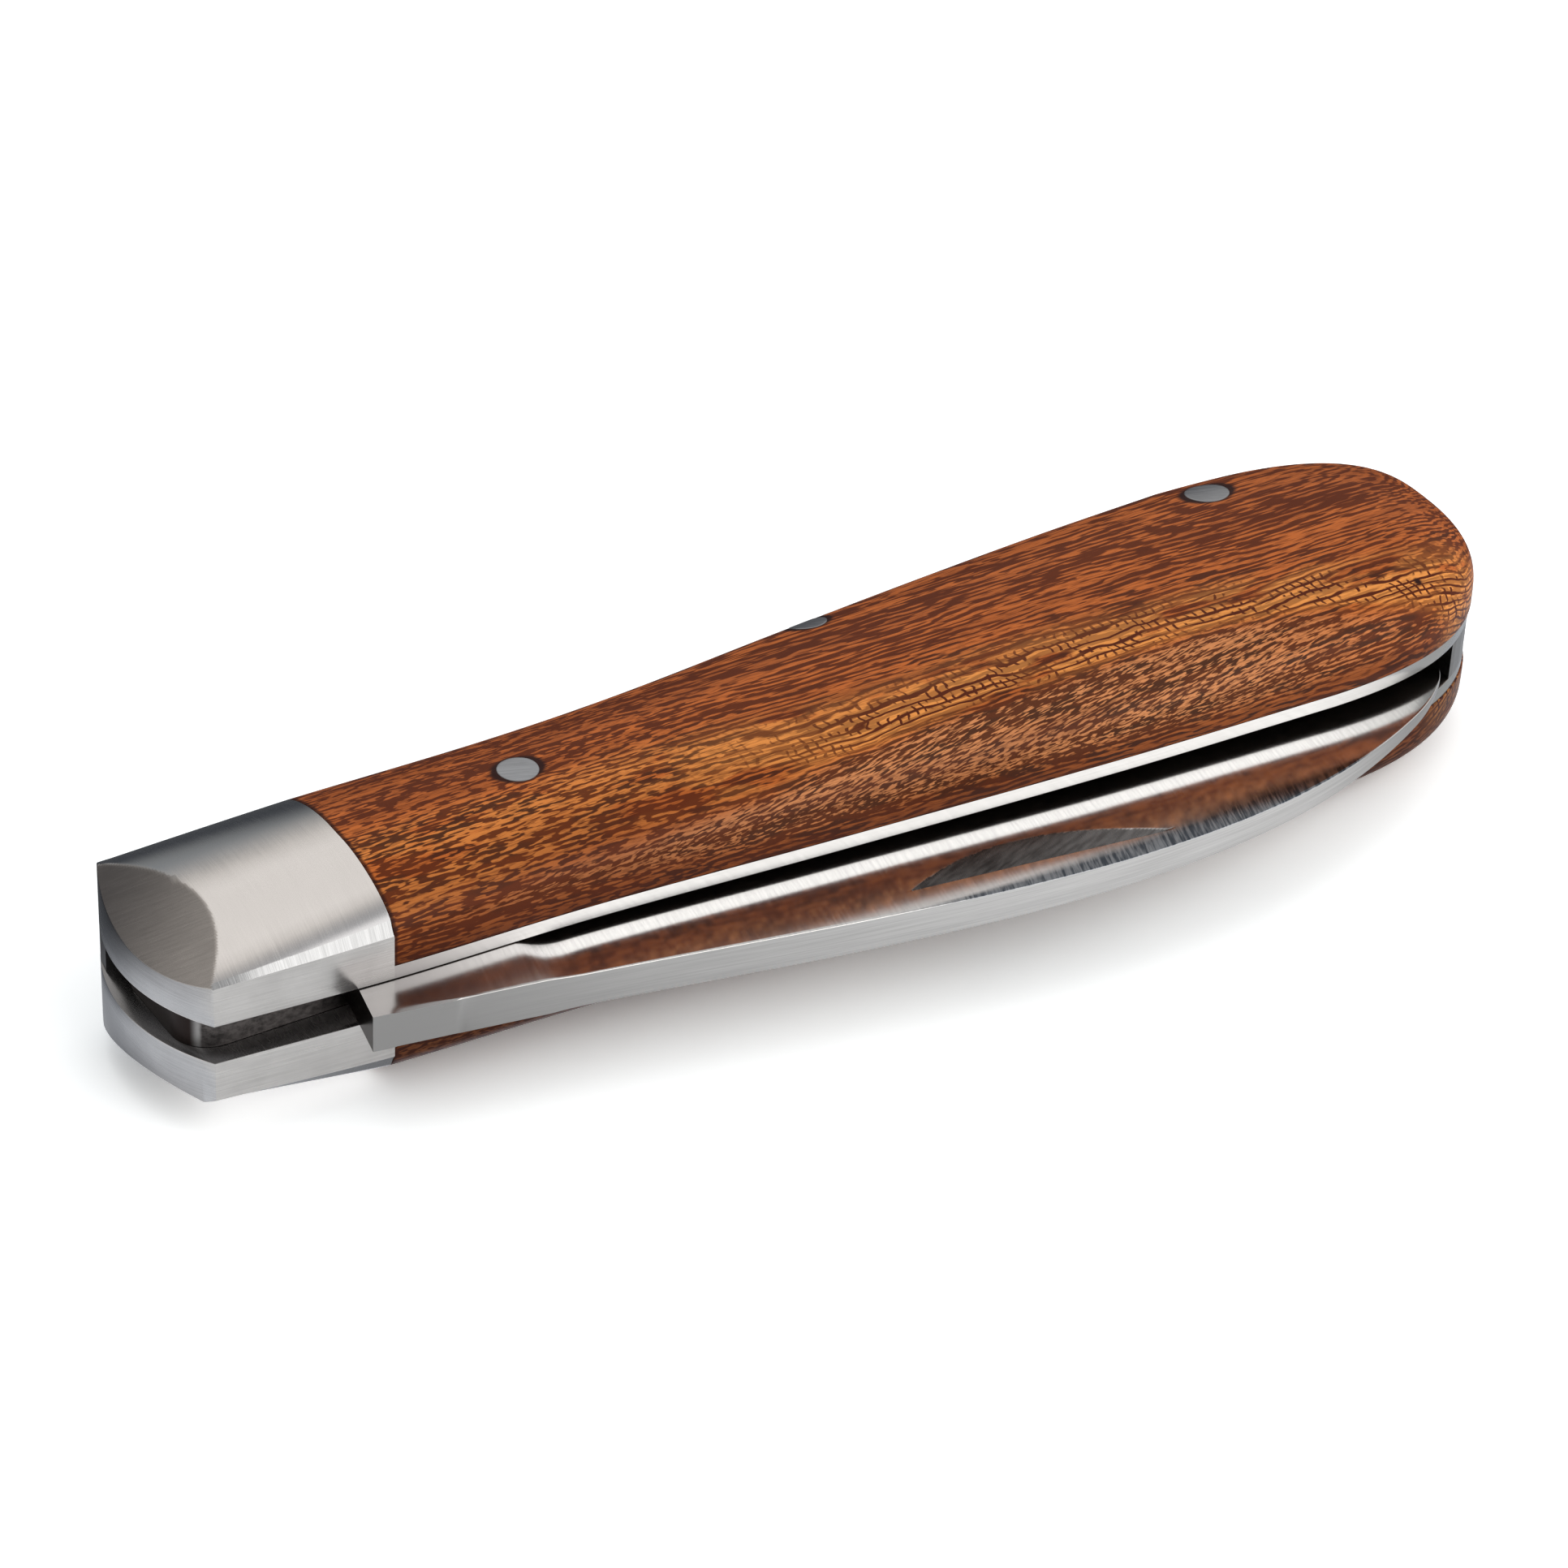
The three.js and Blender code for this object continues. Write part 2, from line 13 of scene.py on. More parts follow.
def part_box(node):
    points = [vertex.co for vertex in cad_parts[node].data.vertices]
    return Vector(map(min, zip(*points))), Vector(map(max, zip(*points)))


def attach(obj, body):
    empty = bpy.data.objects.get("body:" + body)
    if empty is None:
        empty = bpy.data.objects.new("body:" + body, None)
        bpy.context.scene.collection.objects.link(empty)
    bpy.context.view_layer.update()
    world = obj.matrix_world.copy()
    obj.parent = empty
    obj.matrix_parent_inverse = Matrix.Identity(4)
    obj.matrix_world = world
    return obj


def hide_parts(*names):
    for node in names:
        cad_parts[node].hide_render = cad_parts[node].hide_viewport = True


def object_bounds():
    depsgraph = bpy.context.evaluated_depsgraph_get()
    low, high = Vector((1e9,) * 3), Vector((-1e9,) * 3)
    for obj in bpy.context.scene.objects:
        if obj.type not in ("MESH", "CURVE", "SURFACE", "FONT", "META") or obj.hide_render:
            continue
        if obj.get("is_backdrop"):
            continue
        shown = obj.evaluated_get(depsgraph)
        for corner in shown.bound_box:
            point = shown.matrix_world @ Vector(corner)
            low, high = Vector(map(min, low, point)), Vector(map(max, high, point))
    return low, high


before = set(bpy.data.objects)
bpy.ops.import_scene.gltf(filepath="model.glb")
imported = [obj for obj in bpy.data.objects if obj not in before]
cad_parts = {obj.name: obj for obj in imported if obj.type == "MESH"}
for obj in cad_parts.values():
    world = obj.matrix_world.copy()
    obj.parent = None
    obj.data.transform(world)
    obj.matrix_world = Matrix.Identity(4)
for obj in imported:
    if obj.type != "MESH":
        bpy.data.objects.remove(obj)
CAD_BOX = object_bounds()

bl_info = {
    "name": "Folding Pocket Knife",
    "version": (1, 0, 0),
    "blender": (4, 5, 0),
    "location": "View3D > Sidebar > Pocket Knife",
    "description": "Slip-joint jack knife with steel bolsters, wood covers and a blade",
    "category": "Add Mesh",
}

# Millimetres in a metre
PER_METRE = 1000

# The pivot pin gives the knife's own axes their place in the frame: x from the front
# corner of the bolsters, y from the handle's long axis, z from the middle of the blade
PIVOT_TO_CORNER = 4.0
PIN_LOW, PIN_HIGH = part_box("pivot_pin")
TO_FRAME = np.array((PIN_LOW + PIN_HIGH) / 2) * PER_METRE - [PIVOT_TO_CORNER, 0, 0]

# Small measures of the forms, in millimetres: the blend between a facet and its dome,
# and half the fade between their finishes
FACET_BLEND = 0.05
FACET_FADE = 0.06
# How far a pin stands over the wood, and the round of its rim
PIN_PROUD = 0.035
PIN_ROUNDING = 0.1
# From the shoulder: its close stations, its bend, and its stretch with a sharp edge
SHOULDER_CLOSE = 4
SHOULDER_BEND = 6
SHOULDER_SHARP = 0.5
# Width of the blade at its very point
POINT_WIDTH = 0.01
# Distance of a line of points that keeps the nick's edge sharp
BESIDE_NICK = 0.06
# What keeps a divisor above zero, and the slack for rounding errors
ABOVE_ZERO = 0.001
SLACK = 1e-6
# Place of a small knot in the wood
KNOT = (90.7, -8.1, 7.0)

# Points closer than the first become one, edges shorter than the second go, in metres
MERGE = 2e-7
SLIVER = 1e-8

# What every property group holds besides its own properties
NOT_OWN = ("rna_type", "name")

# The camera's sensor in millimetres, and its nearest and furthest sight in metres
SENSOR_WIDTH = 36
SIGHT = (0.01, 20)

# Half the floor's width, how far a sheet lies over it, and the lamps' aim, in metres
FLOOR_REACH = 1.5
ABOVE_FLOOR = 0.0002
LAMP_AIM = (0, 0, 0.01)
# Brightness of the room's white light
ROOM_GLOW = 0.7


def length(name, description, millimetres):
    """A property that holds a length."""
    return FloatProperty(
        name=name, description=description, default=millimetres / PER_METRE, unit="LENGTH"
    )


def number(name, description, value):
    """A property that holds a plain number."""
    return FloatProperty(name=name, description=description, default=value)


def colour(name, description, red, green, blue):
    """A property that holds a colour."""
    return FloatVectorProperty(
        name=name,
        description=description,
        default=(red, green, blue),
        size=3,
        min=0,
        max=1,
        subtype="COLOR",
    )


class KnifeHandle(bpy.types.PropertyGroup):
    """Sizes of the handle."""

    end: length("Length", "From the front corner to the end of the pommel", 99.7)
    pommel: length("Pommel", "From the widest place to the end", 17.7)
    corner_front: length("Front corner", "Half width at the bolster, blade side", 6.5)
    corner_back: length("Back corner", "Half width at the bolster, spring side", 8.05)
    waist_at: length("Waist place", "Where the handle is narrowest", 26)
    waist_front: length("Waist front", "Half width there, blade side", 7.95)
    waist_back: length("Waist back", "Half width there, spring side", 7.5)
    swell_front: length("Swell front", "Widest half width, blade side", 11.3)
    swell_back: length("Swell back", "Widest half width, spring side", 11.24)
    pommel_lean: length("Pommel lean", "How far its end lies off the axis", 2.2)
    pommel_front: number("Pommel front", "Squareness of its blade side", 2.5)
    pommel_back: number("Pommel back", "Squareness of its spring side", 2.65)
    end_radius: length("End radius", "Round of the bolsters' convex end", 13.2)
    end_lean: length("End lean", "How far its middle lies off the axis", 1.3)
    back_corner: length("Back corner radius", "Round of the back corner", 1.5)
    slot_half: length("Half slot", "Half the width of the slot", 1.4)
    liner: length("Liner", "Thickness of a liner", 1.0)
    bolster: length("Bolster", "Length of the bolsters", 12)
    wall_end: length("Wall at the end", "Height of the wall, bolster end", 4.3)
    wall_joint: length("Wall at the joint", "Height of the wall at the wood", 4.7)
    wall_pommel: length("Wall at the pommel", "Height of the wall there", 3.1)
    crown_end: length("Crown at the end", "Height of the crown there", 6.8)
    crown_joint: length("Crown", "Height of the crown along the wood", 7.86)
    crown_shift: length("Crown shift", "How far it lies to the back at the end", 1.1)
    land_end: length("Land at the end", "Flat along the crown there", 0.6)
    land: length("Land", "Flat along the crown", 2.0)
    arch_joint: number("Arch at the joint", "Squareness of the dome there", 1.75)
    arch_swell: number("Arch at the swell", "Squareness of the dome there", 2.6)
    arch_pommel: number("Arch at the pommel", "Squareness of the dome there", 2.9)
    bevel_end: length("Bevel at the end", "Width of the bolster's bevel there", 0.36)
    bevel_joint: length("Bevel at the joint", "Width of the bevel there", 0.5)
    belly: length("Belly", "How far the wood stands out at the pommel", 0.15)
    facet_upper: length("Upper facet", "Its height at the front corner", 4.4)
    facet_lower: length("Lower facet", "Its height at the front corner", 4.9)
    facet_rise: number("Facet rise", "How steeply it rises along the knife", 0.64)
    facet_tilt: number("Facet tilt", "How steeply it rises across the knife", 0.19)


class KnifeBlade(bpy.types.PropertyGroup):
    """Sizes of the blade and the pins."""

    half: length("Half stock", "Half the thickness of the blade", 1.35)
    reach: length("Tang", "From the pivot to each flat of the tang", 5.1)
    corner: length("Tang corner", "Round of the tang's free corners", 2.6)
    kick: length("Kick", "How far the flat runs on past the square", 1.4)
    ramp: length("Kick ramp", "Length of the slope behind it", 1.8)
    shoulder: length("Shoulder", "Foot of the step to the blade's back", 10)
    shoulder_lean: length("Shoulder lean", "How far the step leans", 1)
    shoulder_out: length("Shoulder out", "How far the back stands out there", 10.2)
    hump_out: length("Hump", "How far the back stands out most", 18.73)
    hump_to_point: length("Hump to point", "Along the blade", 31.6)
    point_inset: length("Point", "From the point to the pommel's end", 6.1)
    point_out: length("Point out", "How far the point lies off the axis", 7.8)
    heel_at: length("Heel", "Where the cutting edge starts", 19.8)
    heel_in: length("Heel depth", "How deep the edge lies there", 1.9)
    ricasso_in: length("Blunt stretch", "How deep it lies in the slot", 2.4)
    belly: length("Edge belly", "How full the cutting edge is", 1.2)
    plunge_at: length("Plunge", "Where the grind is at full depth", 23.6)
    plunge: length("Plunge length", "From the blunt stretch to there", 3)
    spine_plunge: length("Back at the plunge", "Thickness of the back", 2.45)
    spine_hump: length("Back at the hump", "Thickness of the back", 2.1)
    edge: length("Edge", "Thickness of the cutting edge", 0.1)
    fullness: number("Fullness", "Below one, the ground faces bulge a little", 0.72)
    nick: length("Nick", "Length of the nail nick", 18.7)
    nick_width: length("Nick width", "Across its middle", 2.8)
    nick_depth: length("Nick depth", "At its middle", 0.4)
    nick_before: length("Nick to hump", "From its middle to the hump", 7.15)
    nick_below: length("Nick to back", "From its straight side to the back", 1.6)
    nick_lean: length("Nick lean", "How much deeper its front end lies", 0.6)
    band: length("Dark marks", "Width of their band beside the back", 2.7)
    band_from: length("Dark marks' start", "Where the band starts", 40)
    band_full: length("Dark marks' middle", "Where the band is widest", 70)
    band_to: length("Dark marks' end", "Where the band ends", 84)
    rivet: length("Rivet", "Radius of the front rivets", 1.4)
    rivet_at: length("Rivet place", "From the bolster's joint", 13.3)
    rivet_off: length("Rivet offset", "From the axis, to the back", 0.7)
    middle_pin: length("Middle pin", "Its radius", 1.3)
    middle_at: length("Middle pin place", "Along the handle", 51.5)
    middle_inset: length("Middle pin inset", "From the back edge", 1.65)
    end_pin: length("Rear pin", "Its radius", 1.6)
    end_pin_at: length("Rear pin place", "From the pommel's end", 15.5)
    end_pin_inset: length("Rear pin inset", "From the back edge", 3.65)
    rounding: length("Rounding", "Of the finished edges", 0.06)


class KnifeFinish(bpy.types.PropertyGroup):
    """Colours of the finishes, and of the highlight, sheen and shade painted on them."""

    steel: colour("Bolster steel", "Satin steel of domes and facets", 0.66, 0.615, 0.575)
    # Painted highlight along the middle of the domes, and painted shade at their back and foot
    dome: colour("Domes", "Middle of the bolsters' domes", 0.99, 0.93, 0.88)
    dome_back_shade: colour("Back of the domes", "Cooler towards the spring", 0.25, 0.27, 0.29)
    dome_foot_shade: colour("Foot of the domes", "Strip over the bevel", 0.28, 0.29, 0.31)
    side: colour("Bolster sides", "Satin steel of the upright sides", 0.61, 0.605, 0.60)
    # Painted shade on the bolsters' convex ends, deeper towards the back
    end_shade: colour("End shade", "Darkens the convex ends", 0.42, 0.44, 0.47)
    # Painted shade across the facet, darkest at its back corner
    facet_front_shade: colour("Facet, front", "Tints its front corner", 0.88, 0.87, 0.86)
    facet_back_shade: colour("Facet, back", "Darkens its back corner", 0.26, 0.26, 0.27)
    # Painted shade on the bevels: a darker steel than the domes', darkest on the lower bevels,
    # which face down
    bevel: colour("Bevels", "Strip between sides and domes", 0.43, 0.43, 0.43)
    under_bevel_shade: colour("Lower bevels", "Those that face down", 0.12, 0.12, 0.12)
    liner: colour("Liner steel", "Finely ground edges", 0.62, 0.625, 0.63)
    # Painted shade on the liners' edges near the bolsters and at the pommel, and on their sides in
    # the slot
    liner_joint_shade: colour("Liner joint", "Edges at the bolsters", 0.5, 0.49, 0.49)
    liner_pommel_shade: colour("Liner pommel", "Edges at the pommel", 0.26, 0.27, 0.27)
    slot: colour("Slot", "Inner sides of the liners", 0.32, 0.27, 0.245)
    slot_end_shade: colour("Slot end", "The same at the bolsters", 0.32, 0.31, 0.305)
    blade: colour("Blade steel", "Polished faces", 0.76, 0.74, 0.72)
    # Painted shade on the blade's faces in the step beside the tang
    blade_step_shade: colour("Blade in the step", "Faces beside the tang", 0.36, 0.345, 0.34)
    marks_dark: colour("Dark marks", "Grinding beside the back", 0.055, 0.065, 0.08)
    marks_light: colour("Between the marks", "Steel there", 0.25, 0.26, 0.275)
    # The nick's floor: dull steel, with painted shade in its hollow that lightens towards the point
    nick_shade: colour("Nick, dark", "Its dull floor", 0.045, 0.041, 0.039)
    nick_lit: colour("Nick, light", "Its lighter streaks", 0.21, 0.20, 0.195)
    # The tang's dark colour is painted shade in the slot, over its rough finish; deeper painted
    # shade beside the step
    tang: colour("Tang steel", "Left dark from forging", 0.10, 0.092, 0.09)
    tang_deep_shade: colour("Tang, deep", "Beside the step", 0.012, 0.011, 0.011)
    # Painted shade on the step's end face
    shoulder: colour("Shoulder", "End face of the step", 0.03, 0.022, 0.02)
    back: colour("Blade back", "Satin back", 0.52, 0.52, 0.52)
    # Painted shade on the blade's back at the step and at the point
    back_step_shade: colour("Back at the step", "Where it starts", 0.33, 0.33, 0.33)
    back_point_shade: colour("Back at the point", "Where it ends", 0.24, 0.245, 0.25)
    pin: colour("Pin steel", "Brushed ends", 0.46, 0.465, 0.48)
    rim: colour("Pin rim", "Dark ring round a pin", 0.03, 0.018, 0.012)
    wood: colour("Wood", "Ground colour", 0.50, 0.128, 0.025)
    gold: colour("Golden zones", "Pale bands of the grain", 0.77, 0.29, 0.068)
    # Painted sheen, rosy, low on the front side of the wood
    rose_sheen: colour("Rose zones", "Low on the front side", 0.62, 0.26, 0.105)
    # The streaks' colour also paints the shade low on the front near the bolsters
    streak: colour("Streaks", "Brown lines of the grain", 0.085, 0.015, 0.004)
    # The veins' colour also paints the shade at the foot and over the underside
    vein_and_shade: colour("Veins", "Darkest lines of the grain", 0.026, 0.007, 0.005)
    floor: colour("Floor", "Pale floor", 0.86, 0.86, 0.86)
    floor_lift: colour("Floor lift", "Added to the floor in the view", 0.56, 0.59, 0.60)


class KnifeStage(bpy.types.PropertyGroup):
    """Camera."""

    azimuth: number("Azimuth", "Camera's turn round the knife, degrees", -33.471)
    elevation: number("Elevation", "Camera's height, degrees", 34.988)
    roll: number("Roll", "Camera's roll, degrees", 2.7954)
    distance: length("Distance", "From the camera to the aim", 323.69)
    aim: FloatVectorProperty(
        name="Aim",
        description="Where the camera looks, in the knife's own axes",
        default=(0.033997, -0.016887, 0.014617),
        size=3,
        unit="LENGTH",
    )
    lens: number("Lens", "Focal length on a 36 mm sensor", 121.205)


def sizes(group):
    """A group's sizes by name, lengths in millimetres."""
    found = {}
    for key, prop in group.bl_rna.properties.items():
        if key in NOT_OWN:
            continue
        value = getattr(group, key)
        if getattr(prop, "is_array", False):
            value = np.array(value)
        found[key] = value * PER_METRE if prop.unit == "LENGTH" else value
    return SimpleNamespace(**found)


def mix(a, b, t):
    """Runs straight from a to b as t runs from 0 to 1."""
    return a + (b - a) * t


def share(x, start, stop):
    """How far x is from start to stop, from 0 to 1."""
    return np.clip((x - start) / (stop - start), 0, 1)


def eased(t):
    """Runs from 0 to 1 with level ends: 3 t squared - 2 t cubed."""
    return t * t * (3 - 2 * t)


def soft_min(a, b, radius):
    """The lower of two surfaces, blended where they are closer than radius."""
    t = np.clip(0.5 + (b - a) / (2 * radius), 0, 1)
    return mix(b, a, t) - radius * t * (1 - t)


def rounded(distance, radius):
    """How far a surface drops at a distance from its rounded edge."""
    left = radius - np.clip(distance, 0, radius)
    return radius - np.sqrt(radius**2 - left**2)


def through(stations):
    """A smooth line through stations: cubic pieces whose slope at each station is that
    of the straight line between its two neighbours."""
    xs, ys = np.array(stations, float).T
    before = np.maximum(np.arange(len(xs)) - 1, 0)
    after = np.minimum(np.arange(len(xs)) + 1, len(xs) - 1)
    slopes = (ys[after] - ys[before]) / (xs[after] - xs[before])

    def line(x):
        i = np.clip(np.searchsorted(xs, x) - 1, 0, len(xs) - 2)
        t = np.clip((x - xs[i]) / (xs[i + 1] - xs[i]), 0, 1)
        lean = (1 - t) * slopes[i] - t * slopes[i + 1]
        return mix(ys[i], ys[i + 1], eased(t)) + (xs[i + 1] - xs[i]) * t * (1 - t) * lean

    return line


class Handle:
    """The handle's plan and dome as functions of x, in millimetres."""

    def __init__(self, size):
        """The grip's lines run through stations at shares of the way along and across."""
        self.size = size
        self.foot = size.slot_half + size.liner
        self.swell_at = size.end - size.pommel
        self.turn_at = size.end - (size.swell_front + size.swell_back) / 2
        grip = lambda t: mix(size.waist_at, self.swell_at, t)
        self.grip_front = through([
            (0, size.corner_front),
            (size.bolster, mix(size.corner_front, size.waist_front, 0.66)),
            (size.waist_at, size.waist_front),
            (grip(0.3), mix(size.waist_front, size.swell_front, 0.37)),
            (grip(0.7), mix(size.waist_front, size.swell_front, 0.81)),
            (self.swell_at, size.swell_front),
        ])
        self.grip_back = through([
            (0, size.corner_back),
            (size.bolster, mix(size.corner_back, size.waist_back, 0.3)),
            (size.waist_at, size.waist_back),
            (grip(0.18), mix(size.waist_back, size.swell_back, 0.09)),
            (grip(0.42), mix(size.waist_back, size.swell_back, 0.43)),
            (grip(0.62), mix(size.waist_back, size.swell_back, 0.69)),
            (grip(0.82), mix(size.waist_back, size.swell_back, 0.895)),
            (self.swell_at, size.swell_back),
        ])

    def width(self, x, grip, swell, lean, power):
        """Half width: the grip's line, then a superellipse round the pommel, which is
        (1 - t ^ power) ^ (1 / power) of the swell and the lean, less the lean."""
        t = share(x, self.swell_at, self.size.end)
        pommel = (swell + lean) * (1 - t**power) ** (1 / power) - lean
        return np.where(x < self.swell_at, grip(x), pommel)

    def front(self, x):
        """Half width on the blade side."""
        size = self.size
        return self.width(x, self.grip_front, size.swell_front, size.pommel_lean, size.pommel_front)

    def back(self, x):
        """Half width on the spring side."""
        size = self.size
        return self.width(x, self.grip_back, size.swell_back, -size.pommel_lean, size.pommel_back)

    def along(self, x, at_end, at_joint):
        """Runs straight along the bolster and stays level along the wood."""
        return mix(at_end, at_joint, share(x, 0, self.size.bolster))

    def wall(self, x):
        """Height of the upright wall under the dome."""
        size = self.size
        pommel = mix(size.wall_joint, size.wall_pommel, share(x, self.swell_at, size.end))
        return np.where(x > self.swell_at, pommel, self.along(x, size.wall_end, size.wall_joint))

    def crown(self, x):
        """Height of the dome's crown."""
        return self.along(x, self.size.crown_end, self.size.crown_joint)

    def crown_line(self, x):
        """Y of the crown: midway between both sides, and further back at the end."""
        return (self.back(x) - self.front(x)) / 2 + self.along(x, self.size.crown_shift, 0)

    def land(self, x):
        """Width of the flat along the crown."""
        return self.along(x, self.size.land_end, self.size.land)

    def bevel(self, x):
        """Width of the bolster's bevel."""
        return self.along(x, self.size.bevel_end, self.size.bevel_joint)

    def arch(self, x):
        """Squareness of the dome, from the joint over the swell to the pommel."""
        size = self.size
        grip = mix(size.arch_joint, size.arch_swell, share(x, size.bolster, self.swell_at))
        pommel = mix(size.arch_swell, size.arch_pommel, share(x, self.swell_at, size.end))
        return np.where(x > self.swell_at, pommel, grip)

    def dome(self, x, side, way):
        """Height at a share of the way in from the wall (0) to the crown (1):
        (1 - (1 - way) ^ inner) ^ (1 / outer) of the rise over the wall."""
        along = share(x, 0, self.size.bolster)
        inner = mix(2, self.arch(x), along)
        outer = mix(np.where(side < 0, 1, 2), self.arch(x), along)
        rise = (1 - (1 - np.clip(way, 0, 1)) ** inner) ** (1 / outer)
        return mix(self.wall(x), self.crown(x), rise)

    def height(self, x, y):
        """Height of the dome over a point of the plan, ahead of the pommel's round."""
        size = self.size
        reach = (self.back(x) + self.front(x) - size.land) / 2
        from_edge = reach + size.land / 2 - np.abs(y - self.crown_line(x))
        return self.dome(x, np.sign(y - self.crown_line(x)), from_edge / reach)

    def section(self, x, side, way):
        """Points of a cover at stations x: a share of the way in from the wall towards
        the crown. Behind the middle of the pommel's round the sections turn about it."""
        size = self.size
        spine_x = np.minimum(x, self.turn_at)
        foot_y = np.where(side < 0, -self.front(x), self.back(x))
        in_x, in_y = spine_x - x, self.crown_line(spine_x) - foot_y
        whole = np.hypot(in_x, in_y)
        reach = whole - self.land(x) / 2
        belly = size.belly * share(x, self.swell_at, size.end)
        step = mix(-belly, reach, way)
        return x + in_x / whole * step, foot_y + in_y / whole * step, reach

    def end_line(self, y):
        """X of the bolsters' convex end: a wide arc, then the rounded back corner."""
        size = self.size
        middle = math.sqrt(size.end_radius**2 - (size.corner_front + size.end_lean) ** 2)
        rise = size.corner_back - size.back_corner - size.end_lean
        inner = size.end_radius - size.back_corner
        corner_x = middle - math.sqrt(inner**2 - rise**2)
        meet_y = size.end_lean + rise * size.end_radius / inner
        wide = middle - np.sqrt(size.end_radius**2 - (np.minimum(y, meet_y) - size.end_lean) ** 2)
        lift = np.clip((y - size.corner_back + size.back_corner) / size.back_corner, 0, 1)
        corner = corner_x - size.back_corner * np.sqrt(1 - lift**2)
        return np.where(y > meet_y, corner, wide)

    def outline(self):
        """The plan's outline: the convex end, the back, the pommel and the front."""
        size = self.size
        across = np.sin(np.linspace(-1, 1, 61) * math.pi / 2)
        end_y = mix(-size.corner_front, size.corner_back, (across + 1) / 2)
        end_x = self.end_line(end_y)
        grip_x = np.linspace(end_x[-1], self.swell_at, 90)[1:]
        turn = np.sin(np.linspace(0, 1, 60) * math.pi / 2)[1:] ** (2 / size.pommel_front)
        round_x = mix(self.swell_at, size.end, turn)
        along = np.concatenate([grip_x, round_x])
        ahead = np.concatenate([np.linspace(0, self.swell_at, 90)[1:], round_x])
        back = np.stack([along, self.back(along)], 1)
        front = np.stack([ahead, -self.front(ahead)], 1)[::-1][1:]
        return np.concatenate([np.stack([end_x, end_y], 1), back, front])


def grid_faces(rows, columns, first=0, closed=False):
    """Quads between the rows of a grid; a closed row joins its end to its start."""
    i = np.arange(rows - 1)[:, None]
    j = np.arange(columns if closed else columns - 1)[None, :]
    k = (j + 1) % columns
    corners = [i * columns + j, i * columns + k, (i + 1) * columns + k, (i + 1) * columns + j]
    return (np.stack(corners, -1).reshape(-1, 4) + first).tolist()


def edge_loop(rows, columns):
    """Indices round the border of a grid."""
    index = np.arange(rows * columns).reshape(rows, columns)
    sides = [index[0, :-1], index[:-1, -1], index[-1, :0:-1], index[:0:-1, 0]]
    return np.concatenate(sides)


def on_floor(points, floor):
    """A closed body under a grid of points: the grid, upright walls from its border down
    to a level, and a flat underside."""
    rows, columns = points.shape[:2]
    top = points.reshape(-1, 3)
    loop = edge_loop(rows, columns)
    low = top[loop].copy()
    low[:, 2] = floor
    count = len(loop)
    start = len(top)
    here = np.arange(count)
    after = (here + 1) % count
    walls = np.stack([loop[here], loop[after], start + after, start + here], 1)
    faces = grid_faces(rows, columns) + walls.tolist() + [list(range(start, start + count))]
    return np.concatenate([top, low]), faces


def between_rings(rings):
    """A closed body through rings of equally many points, with flat ends."""
    rows, columns = rings.shape[:2]
    ends = [list(range(columns))[::-1], list(range((rows - 1) * columns, rows * columns))]
    return rings.reshape(-1, 3), grid_faces(rows, columns, closed=True) + ends


def stacked(plan, levels):
    """Rings that follow a plan: each level is (step inwards, height)."""
    ahead, behind = np.roll(plan, -1, 0), np.roll(plan, 1, 0)
    along = ahead - behind
    inward = np.stack([-along[:, 1], along[:, 0]], 1)
    inward /= np.linalg.norm(inward, axis=1)[:, None]
    area = np.sum(plan[:, 0] * ahead[:, 1] - ahead[:, 0] * plan[:, 1])
    inward *= np.sign(area)
    rings = []
    for step, height in levels:
        flat = plan + inward * step
        rings.append(np.column_stack([flat, np.full(len(plan), height)]))
    return np.array(rings)


def mirrored(points):
    """The same points on the other side of the blade."""
    return points * np.array([1, 1, -1])


def on_side(side, points):
    """Points of the upper side, or the same on the lower side."""
    return mirrored(points) if side == "lower" else points


def make_piece(name, points, faces, node, body, material, marks=None, sharp=32):
    """Puts a closed body into the scene in place of a CAD node. Edges that turn by more
    than sharp, in degrees, aren't smoothed."""
    place = points.reshape(-1, 3) + TO_FRAME
    mesh = bpy.data.meshes.new(name)
    mesh.from_pydata((place / PER_METRE).tolist(), [], faces)
    for key, values in (marks or {}).items():
        attribute = mesh.attributes.new(key, "FLOAT", "POINT")
        attribute.data.foreach_set("value", values.astype(np.float32).ravel())
    body_mesh = bmesh.new()
    body_mesh.from_mesh(mesh)
    bmesh.ops.remove_doubles(body_mesh, verts=body_mesh.verts, dist=MERGE)
    bmesh.ops.dissolve_degenerate(body_mesh, edges=body_mesh.edges, dist=SLIVER)
    bmesh.ops.recalc_face_normals(body_mesh, faces=body_mesh.faces)
    body_mesh.to_mesh(mesh)
    body_mesh.free()
    mesh.shade_smooth()
    mesh.set_sharp_from_angle(angle=math.radians(sharp))
    mesh.materials.append(material)
    piece = bpy.data.objects.new(name, mesh)
    bpy.context.scene.collection.objects.link(piece)
    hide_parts(node)
    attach(piece, body)


